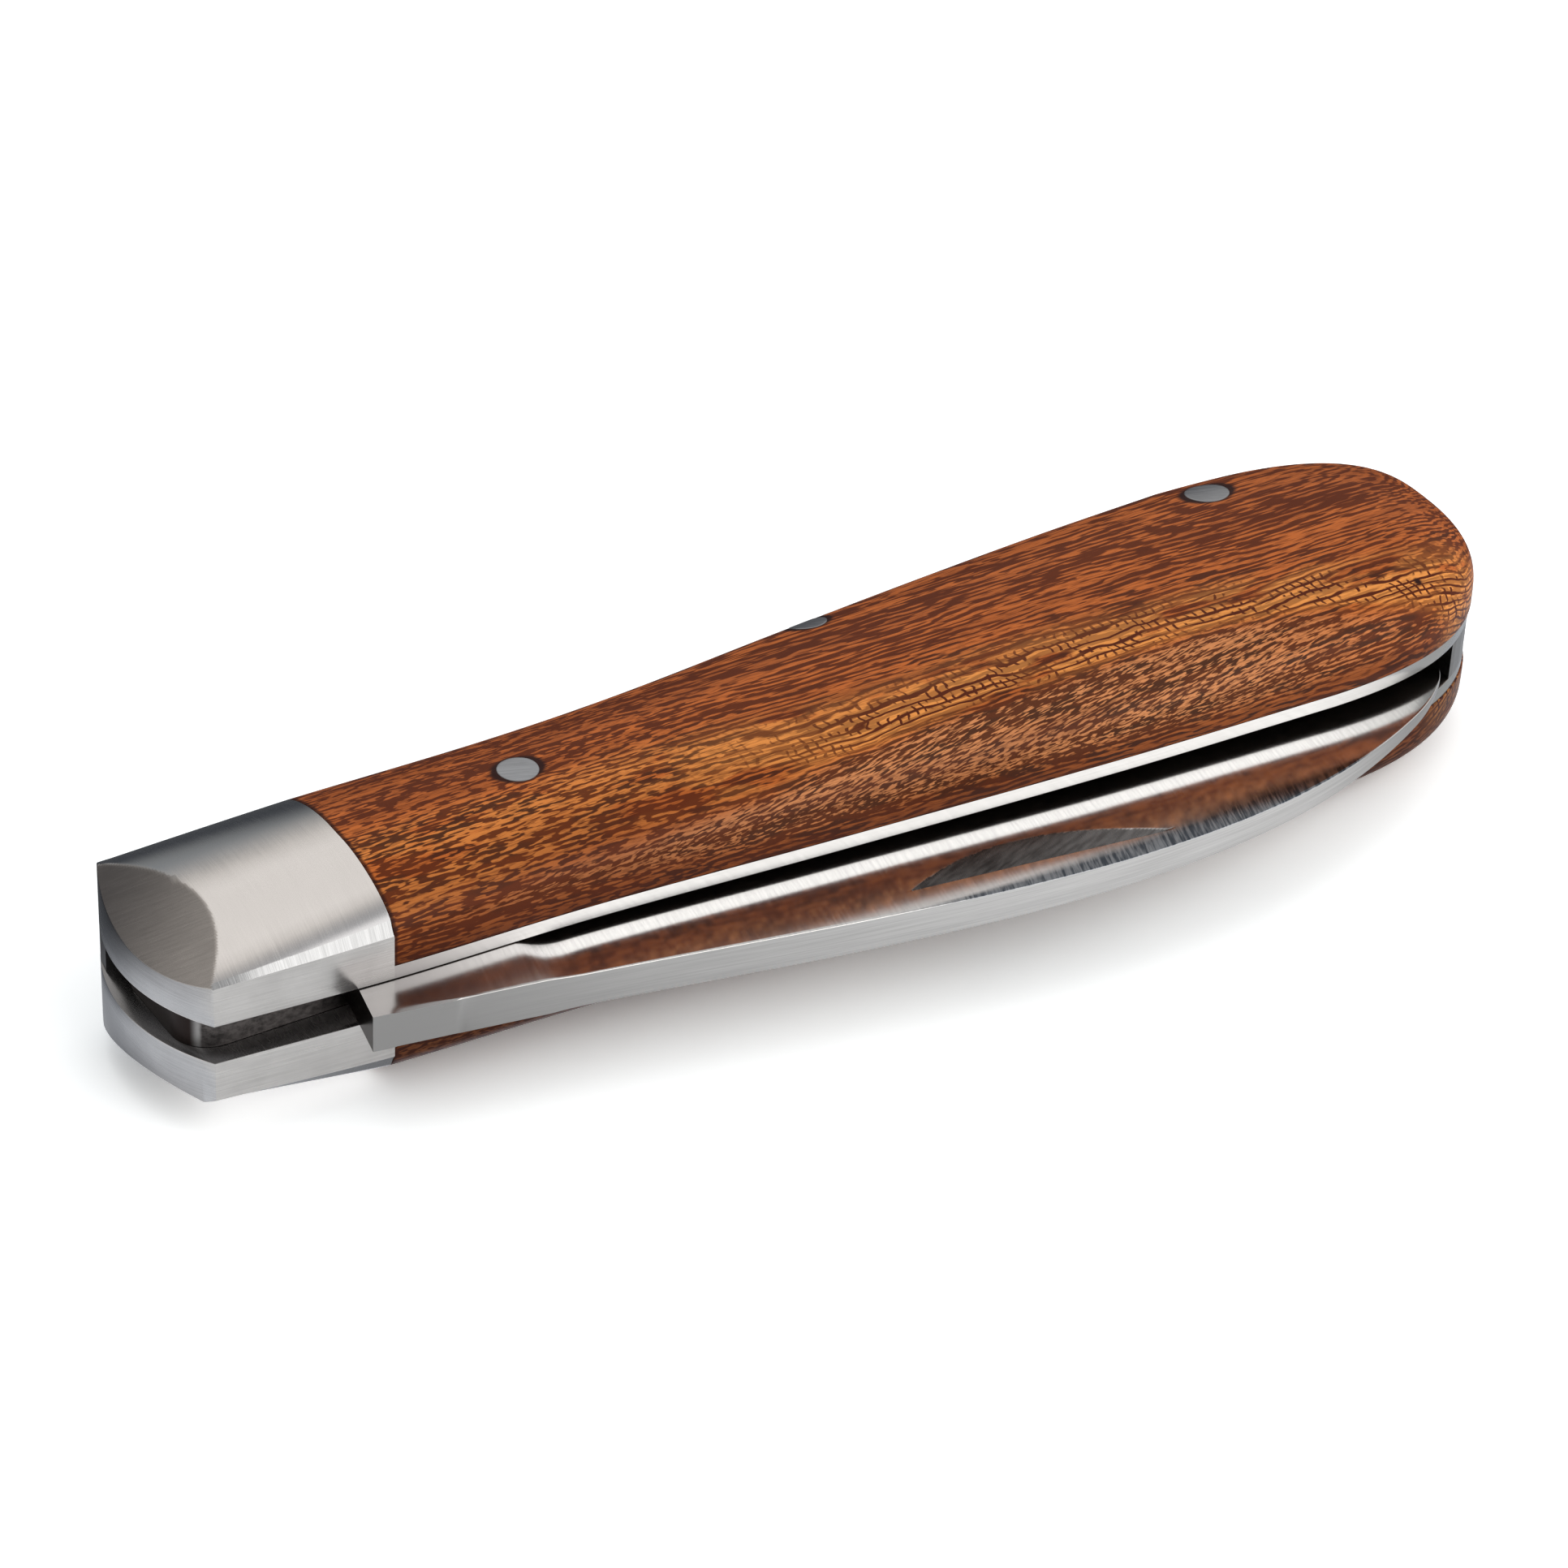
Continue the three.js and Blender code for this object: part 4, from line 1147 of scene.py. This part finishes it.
class Blade:
    """The blade's plan and thickness, in millimetres."""

    def __init__(self, handle, size):
        self.size = size
        self.point_at = handle.size.end - size.point_inset
        self.hump_at = self.point_at - size.hump_to_point
        rise = lambda t: mix(size.shoulder, self.hump_at, t)
        fall = lambda t: mix(self.hump_at, self.point_at, t)
        up = lambda t: mix(size.shoulder_out, size.hump_out, t)
        down = lambda t: mix(size.point_out, size.hump_out, t)
        self.back = through([
            (size.shoulder - size.shoulder_lean, size.shoulder_out),
            (rise(0.24), up(0.27)),
            (rise(0.6), up(0.71)),
            (rise(0.82), up(0.92)),
            (self.hump_at, size.hump_out),
            (fall(0.3), down(0.965)),
            (fall(0.55), down(0.82)),
            (fall(0.8), down(0.54)),
            (fall(0.93), down(0.28)),
            (self.point_at, size.point_out),
        ])

    def edge(self, x):
        """The cutting edge: a straight line from the heel to the point, plus the belly
        times 4 t (1 - t), fuller towards the point by (0.4 + t) / 1.4."""
        size = self.size
        t = share(x, size.heel_at, self.point_at)
        line = mix(size.heel_in, -size.point_out, t)
        return line + 4 * size.belly * t * (1 - t) * (0.4 + t) / 1.4

    def inner(self, x):
        """The side in the slot: the tang's flat, the kick's slope, the blunt stretch
        and the cutting edge."""
        size = self.size
        kick = PIVOT_TO_CORNER + size.reach + size.kick
        slope = share(kick + size.ramp - x, 0, size.ramp)
        blunt = mix(size.ricasso_in, size.heel_in, share(x, kick + size.ramp, size.heel_at))
        y = np.where(x < size.heel_at, blunt, self.edge(x))
        return np.where(x < kick + size.ramp, mix(size.ricasso_in, size.reach, slope**2), y)

    def ground(self, x, y):
        """Half thickness of the grind: a slightly full wedge that thins to the edge."""
        size = self.size
        wedge = lambda at, thick: (thick - size.edge) / 2 / (self.back(at) + self.edge(at))
        taper = share(x, size.plunge_at, self.hump_at)
        at_plunge = wedge(size.plunge_at, size.spine_plunge)
        slope = mix(at_plunge, wedge(self.hump_at, size.spine_hump), taper)
        height = np.maximum(self.back(x) + self.edge(x), ABOVE_ZERO)
        share_left = np.clip((self.edge(x) - y) / height, 0, 1)
        return size.edge / 2 + slope * height * share_left**size.fullness

    def nick_ends(self):
        """Where the nick starts and ends."""
        middle = self.hump_at - self.size.nick_before
        return middle - self.size.nick / 2, middle + self.size.nick / 2

    def nick_line(self, x):
        """The nick's straight side, and how deep its floor starts there: the full depth
        times 1 - t squared, with t from -1 to 1 along the nick."""
        size = self.size
        first, last = self.nick_ends()
        way = (x - first) / size.nick
        chord = mix(size.nick_lean - self.back(first), -self.back(last), way) + size.nick_below
        deep = size.nick_depth * (1 - np.clip(2 * way - 1, -1, 1) ** 2)
        return chord, deep

    def half(self, x, y):
        """Half thickness, with the nick left out, and the mark of the ground face. The
        plunge falls away steeply and levels out."""
        size = self.size
        t = share(x, size.plunge_at - size.plunge, size.plunge_at)
        fall = 1 - (1 - t) ** 2
        full = np.full_like(x, size.half)
        return mix(full, np.minimum(full, self.ground(x, y)), fall), fall


def lines_across(blade, x, count):
    """Shares of the way from the blade's back to its inner side, for each station: close
    lines at the back's edge, then a line on the nick's straight side and fine steps over
    its floor, then even steps to the edge."""
    size = blade.size
    # Shares of the height keep the lines in order where the blade is narrow
    height = np.maximum(blade.back(x) + blade.inner(x), ABOVE_ZERO)
    held = np.clip(x, *blade.nick_ends())
    side = np.minimum(blade.nick_line(held)[0] + blade.back(held), 0.35 * height)
    near = np.minimum(size.rounding, 0.05 * height)
    beside = side - BESIDE_NICK
    far = np.minimum(side + size.nick_width, 0.75 * height)
    parts = [
        near * np.array([0, 0.08, 0.3, 0.6, 1.0]),
        mix(near, beside, np.linspace(0, 1, 12)[1:]),
        mix(beside, side, np.linspace(0, 1, 4)[1:]),
        mix(side, far, np.linspace(0, 1, 26)[1:]),
        mix(far, height, np.linspace(0, 1, count)[1:]),
    ]
    return np.concatenate(parts, 1) / height


def blade_grid(blade):
    """The blade's upper face in front of the tang, as a grid from the shoulder to the
    point. Its first row is bent round the shoulder's foot, and that bend fades out."""
    size = blade.size
    middle = blade.hump_at - size.nick_before - size.shoulder
    over_nick = middle + size.nick / 2 * np.linspace(-1, 1, 90)
    tip = np.sin(np.linspace(0, 1, 90) * math.pi / 2)
    along = size.shoulder + np.concatenate([
        np.linspace(0, SHOULDER_CLOSE, 15)[:-1],
        np.linspace(SHOULDER_CLOSE, over_nick[0], 70)[:-1],
        over_nick,
        mix(over_nick[-1], blade.point_at - size.shoulder, tip)[1:],
    ])[:, None]
    columns = lines_across(blade, along, count=40)
    count = columns.shape[1]
    # First row: from the shoulder's outer corner to its foot, then up the joint line
    foot = 14
    low = np.linspace(-size.shoulder_out, -size.reach, foot)
    high = np.linspace(-size.reach, size.reach, count - foot + 1)[1:]
    first_y = np.concatenate([low, high])[None, :]
    first_x = size.shoulder - size.shoulder_lean * share(-first_y, size.reach, size.shoulder_out)
    fade = eased(share(along, size.shoulder, size.shoulder + SHOULDER_BEND))
    x = along + (first_x - size.shoulder) * (1 - fade)
    bottom = -blade.back(x)
    top = np.maximum(blade.inner(x), bottom + POINT_WIDTH)
    sink = (-size.shoulder_out - bottom) * np.clip(1 - np.arange(count) / (foot - 1), 0, 1)
    start = share(first_y - sink, bottom, top)
    return x, mix(bottom, top, mix(start, columns, fade))


def blade_heights(blade, x, y):
    """Half thickness over the grid with the rounded back edge and the nick, and the
    marks of the ground face and the nick."""
    size = blade.size
    half, fall = blade.half(x, y)
    chord, deep = blade.nick_line(x)
    width = size.nick_width / size.nick_depth * deep
    inside = (y >= chord - SLACK) & (y < chord + width) & (deep > 0)
    depth = np.where(inside, deep * (1 - (y - chord) / np.maximum(width, SLACK)), 0)
    edge = rounded(y + blade.back(x), np.minimum(size.rounding, 0.9 * half))
    edge = np.where(x > size.shoulder + SHOULDER_SHARP, edge, 0)
    return half - depth - edge, fall, inside


def near_back(blade, x, y):
    """Mark of the band beside the back, which widens and narrows along the blade."""
    size = blade.size
    widening = eased(share(x, size.band_from, size.band_full))
    band = widening - eased(share(x, size.band_full, size.band_to))
    inner, outer = 0.5 * size.band * band, size.band * band + ABOVE_ZERO
    near = (1 - share(y + blade.back(x), inner, outer)) * (band > 0)
    return near * share(band, 0, 0.2)


def tang_grid(blade, joint_y, joint_z):
    """The tang's upper face as a grid: from its free end, which is rounded at both
    corners, to the blade's first row."""
    size = blade.size
    left = PIVOT_TO_CORNER - size.reach
    turn = 1 - np.cos(np.linspace(0, 1, 16) * math.pi / 2)
    x = np.concatenate([
        left + size.corner * turn,
        np.linspace(left + size.corner, size.shoulder, 14)[1:],
    ])[:, None]
    lift = np.clip((left + size.corner - x) / size.corner, 0, 1)
    reach = size.reach - size.corner + size.corner * np.sqrt(1 - lift**2)
    y = joint_y[None, :] / size.reach * reach
    z = np.full_like(y, size.half)
    z[-1] = joint_z
    return np.stack([np.broadcast_to(x, y.shape), y, z], -1)


def blade_border(face, tang, foot):
    """Indices round the blade's upper face: the tang's front flat, its free end and its
    back flat, then the inner side, the point, the back and the shoulder down to its
    foot."""
    sides = [
        tang[::-1, 0],
        tang[0, 1:],
        tang[1:, -1],
        face[1:, -1],
        face[-1, ::-1][1:],
        face[::-1, 0][1:],
        face[0, 1:foot],
    ]
    return np.concatenate(sides)


def blade_body(blade):
    """The blade as one closed body: upper face in two grids, the same below, and a wall
    round the border. Marks: near the back, ground face, nick and tang."""
    x, y = blade_grid(blade)
    z, fall, inside = blade_heights(blade, x, y)
    joint = np.flatnonzero(y[0] >= -blade.size.reach - SLACK)
    tang = tang_grid(blade, y[0, joint], z[0, joint])
    upper = np.concatenate([np.stack([x, y, z], -1).reshape(-1, 3), tang.reshape(-1, 3)])
    count = len(upper)
    faces = grid_faces(*x.shape) + grid_faces(*tang.shape[:2], first=x.size)
    lower = [[i + count for i in quad[::-1]] for quad in faces]
    order = np.arange(count)
    face_order = order[: x.size].reshape(x.shape)
    tang_order = order[x.size :].reshape(tang.shape[:2])
    border = blade_border(face_order, tang_order, joint[0])
    after = np.roll(border, -1)
    walls = np.stack([border, border + count, after + count, after], 1).tolist()
    seam = np.zeros_like(x)
    seam[0, joint] = 1
    marks = {"near_back": near_back(blade, x, y), "ground": fall, "nick": inside, "tang": seam}
    for key, values in marks.items():
        on_tang = np.full(tang_order.size, 1.0 if key == "tang" else 0.0)
        marks[key] = np.tile(np.concatenate([values.ravel(), on_tang]), 2)
    return np.concatenate([upper, mirrored(upper)]), faces + lower + walls, marks


class KNIFE_OT_bolsters(bpy.types.Operator):
    """Two steel bolsters with a facet across their convex ends"""

    bl_idname = "knife.bolsters"
    bl_label = "Bolsters"

    def execute(self, context):
        handle = handle_of(context)
        radius = sizes(context.scene.knife_blade).rounding
        material = bolster_finish(context.scene.knife_finish)
        corners = {"upper": handle.size.facet_upper, "lower": handle.size.facet_lower}
        for side, corner in corners.items():
            top, marks = bolster_points(handle, corner, radius)
            points, faces = on_floor(top, handle.foot)
            points = on_side(side, points)
            below = np.zeros(len(points) - marks["facet"].size)
            marks = {key: np.append(values.ravel(), below) for key, values in marks.items()}
            node = side + "_bolster"
            make_piece(
                "satin_" + node,
                points,
                faces,
                node,
                "handle",
                material,
                marks,
                sharp=9,
            )
        return {"FINISHED"}


class KNIFE_OT_liners(bpy.types.Operator):
    """Two thin liners, one on each side of the slot"""

    bl_idname = "knife.liners"
    bl_label = "Liners"

    def execute(self, context):
        handle = handle_of(context)
        size = handle.size
        material = liner_finish(context.scene.knife_finish, size.bolster, size.slot_half)
        # Steps inwards and heights, with the rounded edge at the slot last
        levels = [
            (0.0, handle.foot),
            (0.0, size.slot_half + 0.05),
            (0.012, size.slot_half + 0.02),
            (0.05, size.slot_half),
        ]
        for side in ("upper", "lower"):
            points, faces = between_rings(stacked(handle.outline(), levels))
            points = on_side(side, points)
            node = side + "_liner"
            make_piece("ground_" + node, points, faces, node, "handle", material)
        return {"FINISHED"}


class KNIFE_OT_covers(bpy.types.Operator):
    """Two domed wood covers behind the bolsters"""

    bl_idname = "knife.covers"
    bl_label = "Wood covers"

    def execute(self, context):
        handle = handle_of(context)
        size = sizes(context.scene.knife_blade)
        pins = pin_places(handle, size).values()
        material = wood_finish(context.scene.knife_finish, handle, pins)
        for side in ("upper", "lower"):
            points, faces = between_rings(wood_points(handle, size.rounding))
            points = on_side(side, points)
            node = side + "_wood_cover"
            make_piece("domed_" + node, points, faces, node, "handle", material)
        return {"FINISHED"}


class KNIFE_OT_pins(bpy.types.Operator):
    """Pins and rivets, their ends dressed to the curve of the wood"""

    bl_idname = "knife.pins"
    bl_label = "Pins"

    def execute(self, context):
        handle = handle_of(context)
        places = pin_places(handle, sizes(context.scene.knife_blade))
        material = pin_finish(context.scene.knife_finish)
        for pin in ("middle", "end"):
            points, faces, marks = pin_body(handle, places[pin])
            node = pin + "_pin"
            make_piece("dressed_" + node, points, faces, node, "handle", material, marks)
        for side in ("upper", "lower"):
            points, faces, marks = pin_body(handle, places["rivet"], handle.size.slot_half)
            points = on_side(side, points)
            node = side + "_front_rivet"
            make_piece("dressed_" + node, points, faces, node, "handle", material, marks)
        return {"FINISHED"}


class KNIFE_OT_spring(bpy.types.Operator):
    """Finish of the backspring and of the hidden pivot pin, which keep their shapes"""

    bl_idname = "knife.spring"
    bl_label = "Backspring"

    def execute(self, context):
        material = spring_finish(context.scene.knife_finish)
        for node in ("backspring", "pivot_pin"):
            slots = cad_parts[node].data.materials
            slots.clear()
            slots.append(material)
        return {"FINISHED"}


class KNIFE_OT_blade(bpy.types.Operator):
    """Flat-ground blade with its tang and nail nick"""

    bl_idname = "knife.blade"
    bl_label = "Blade"

    def execute(self, context):
        handle = handle_of(context)
        blade = Blade(handle, sizes(context.scene.knife_blade))
        points, faces, marks = blade_body(blade)
        material = blade_finish(context.scene.knife_finish)
        make_piece("ground_blade", points, faces, "blade", "blade", material, marks)
        return {"FINISHED"}


def floor_finish(colours):
    """Pale floor. The camera sees it lighter, so that it is white all round and only the
    knife's own shadow is left on it."""
    finish = Finish("pale_floor")
    lit = finish.add("BsdfDiffuse", None, {"Color": (*colours.floor, 1.0)})
    more = finish.add("BsdfDiffuse", None, {"Color": (*colours.floor_lift, 1.0)})
    both = finish.add("AddShader", None, {0: lit, 1: more})
    seen = finish.add("LightPath", None, None, "Is Camera Ray")
    return finish.output(finish.add("MixShader", None, {0: seen, 1: lit, 2: both}))


def make_camera(view):
    """Camera at the photo's angle: back from the aim, then rolled."""
    turn, rise, roll = (math.radians(a) for a in (view.azimuth, view.elevation, view.roll))
    back = Vector((
        math.sin(turn) * math.cos(rise),
        -math.cos(turn) * math.cos(rise),
        math.sin(rise),
    ))
    level = Vector((math.cos(turn), math.sin(turn), 0))
    above = back.cross(level)
    right = math.cos(roll) * level + math.sin(roll) * above
    up = back.cross(right)
    aim = Vector((view.aim + TO_FRAME) / PER_METRE)
    camera = bpy.data.cameras.new("knife_camera")
    camera.lens = view.lens
    camera.sensor_width = SENSOR_WIDTH
    camera.clip_start, camera.clip_end = SIGHT
    holder = bpy.data.objects.new("knife_camera", camera)
    bpy.context.scene.collection.objects.link(holder)
    turned = Matrix((right, up, back)).transposed().to_4x4()
    away = back * view.distance / PER_METRE
    holder.matrix_world = Matrix.Translation(aim + away) @ turned
    bpy.context.scene.camera = holder


def make_lamp(name, place, width, height, glow, tint=(1.0, 1.0, 1.0)):
    """An area lamp of a given brightness: its power is brightness x pi x area."""
    lamp = bpy.data.lights.new(name, "AREA")
    lamp.shape = "RECTANGLE"
    lamp.size, lamp.size_y = width, height
    lamp.energy = glow * math.pi * width * height
    lamp.color = tint
    holder = bpy.data.objects.new(name, lamp)
    bpy.context.scene.collection.objects.link(holder)
    holder.location = place
    holder.rotation_mode = "QUATERNION"
    holder.rotation_quaternion = (Vector(place) - Vector(LAMP_AIM)).to_track_quat("Z", "Y")
    return holder


def make_lamps():
    """A broad warm lamp in front, and one above that metal doesn't reflect."""
    make_lamp(
        "soft_key",
        place=(0.34, -0.57, 0.42),
        width=1.0,
        height=0.74,
        glow=1.5,
        tint=(1.0, 0.985, 0.965),
    )
    top = make_lamp("soft_top", place=(-0.05, 0.1, 0.9), width=0.5, height=0.5, glow=0.9)
    top.visible_glossy = False


def make_sheet(name, corners, material):
    """A flat sheet of the stage."""
    mesh = bpy.data.meshes.new(name)
    mesh.from_pydata(corners, [], [list(range(len(corners)))])
    mesh.materials.append(material)
    sheet = bpy.data.objects.new(name, mesh)
    bpy.context.scene.collection.objects.link(sheet)
    sheet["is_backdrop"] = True
    return sheet


def level_corners(left, right, near, far, height):
    """Corners of a level rectangle."""
    return [(left, near, height), (right, near, height), (right, far, height), (left, far, height)]


def sheet_finish(name, axis, start, stop, near, far):
    """Glow of a studio sheet that runs from one tone to another along an axis."""
    finish = Finish(name)
    tone = finish.blend(finish.place.part(axis).ramp(start, stop), near, far)
    return finish.output(finish.add("Emission", None, {"Color": tone, "Strength": 1.0}))


def make_flag(name, corners, material):
    """A studio sheet that is seen in reflections only."""
    flag = make_sheet(name, corners, material)
    flag.visible_camera = False
    flag.visible_diffuse = False
    flag.visible_shadow = False
    flag.visible_transmission = False


def make_flags(low):
    """What the steel reflects: a sheet on the floor that darkens behind the knife, a
    board beyond it that is light at the top, and a tilted grey sheet on the left."""
    shade = sheet_finish(
        "floor_shade",
        axis=1,
        start=4.0,
        stop=20.0,
        near=(0.7, 0.72, 0.76),
        far=(0.10, 0.105, 0.115),
    )
    make_flag("back_flag", level_corners(-0.7, 0.9, -0.004, 0.8, low), shade)
    board = sheet_finish(
        "board_shade",
        axis=2,
        start=60.0,
        stop=330.0,
        near=(0.08, 0.085, 0.1),
        far=(0.7, 0.69, 0.67),
    )
    corners = [(-0.9, 0.6, 0.0), (1.2, 0.6, 0.0), (1.2, 0.6, 0.36), (-0.9, 0.6, 0.36)]
    make_flag("back_board", corners, board)
    grey = sheet_finish(
        "side_shade",
        axis=0,
        start=-500.0,
        stop=-200.0,
        near=(0.34, 0.34, 0.345),
        far=(0.46, 0.45, 0.44),
    )
    corners = [(-0.75, 0.05, 0.30), (-0.12, 0.05, 0.62), (0.0, 0.6, 0.6), (-0.75, 0.6, 0.3)]
    make_flag("left_flag", corners, grey)


def make_room(scene):
    """Even white light from all round."""
    world = bpy.data.worlds.new("pale_room")
    scene.world = world
    world.use_nodes = True
    ground = world.node_tree.nodes["Background"]
    ground.inputs["Color"].default_value = (1.0, 1.0, 1.0, 1.0)
    ground.inputs["Strength"].default_value = ROOM_GLOW


class KNIFE_OT_stage(bpy.types.Operator):
    """Pale floor, soft light and the camera"""

    bl_idname = "knife.stage"
    bl_label = "Stage"

    def execute(self, context):
        scene = context.scene
        floor = CAD_BOX[0][2]
        corners = level_corners(-FLOOR_REACH, FLOOR_REACH, -FLOOR_REACH, FLOOR_REACH, floor)
        make_camera(sizes(scene.knife_stage))
        make_sheet("pale_floor", corners, floor_finish(scene.knife_finish))
        make_flags(floor + ABOVE_FLOOR)
        make_lamps()
        make_room(scene)
        scene.view_settings.view_transform = "Standard"
        return {"FINISHED"}


class KNIFE_PT_panel(bpy.types.Panel):
    """Lists the knife's pieces, sizes and colours"""

    bl_idname = "KNIFE_PT_panel"
    bl_label = "Folding Pocket Knife"
    bl_space_type = "VIEW_3D"
    bl_region_type = "UI"
    bl_category = "Pocket Knife"

    def draw(self, context):
        for operator in OPERATORS:
            self.layout.operator(operator.bl_idname)
        for key in GROUPS:
            group = getattr(context.scene, key)
            box = self.layout.box()
            for name in group.bl_rna.properties.keys():
                if name not in NOT_OWN:
                    box.prop(group, name)


GROUPS = {
    "knife_handle": KnifeHandle,
    "knife_blade": KnifeBlade,
    "knife_finish": KnifeFinish,
    "knife_stage": KnifeStage,
}
OPERATORS = (
    KNIFE_OT_liners,
    KNIFE_OT_bolsters,
    KNIFE_OT_covers,
    KNIFE_OT_pins,
    KNIFE_OT_spring,
    KNIFE_OT_blade,
    KNIFE_OT_stage,
)


def register():
    for kind in (*GROUPS.values(), *OPERATORS, KNIFE_PT_panel):
        bpy.utils.register_class(kind)
    for key, kind in GROUPS.items():
        setattr(bpy.types.Scene, key, PointerProperty(type=kind))


def unregister():
    for key in GROUPS:
        delattr(bpy.types.Scene, key)
    for kind in (KNIFE_PT_panel, *reversed(OPERATORS), *GROUPS.values()):
        bpy.utils.unregister_class(kind)


def main():
    """Makes the pieces and the stage."""
    register()
    for make in (
        bpy.ops.knife.liners,
        bpy.ops.knife.bolsters,
        bpy.ops.knife.covers,
        bpy.ops.knife.pins,
        bpy.ops.knife.spring,
        bpy.ops.knife.blade,
        bpy.ops.knife.stage,
    ):
        make()
    boxes = {"cad": CAD_BOX, "visual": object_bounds()}
    boxes = {key: [list(corner) for corner in box] for key, box in boxes.items()}


if __name__ == "__main__":
    main()
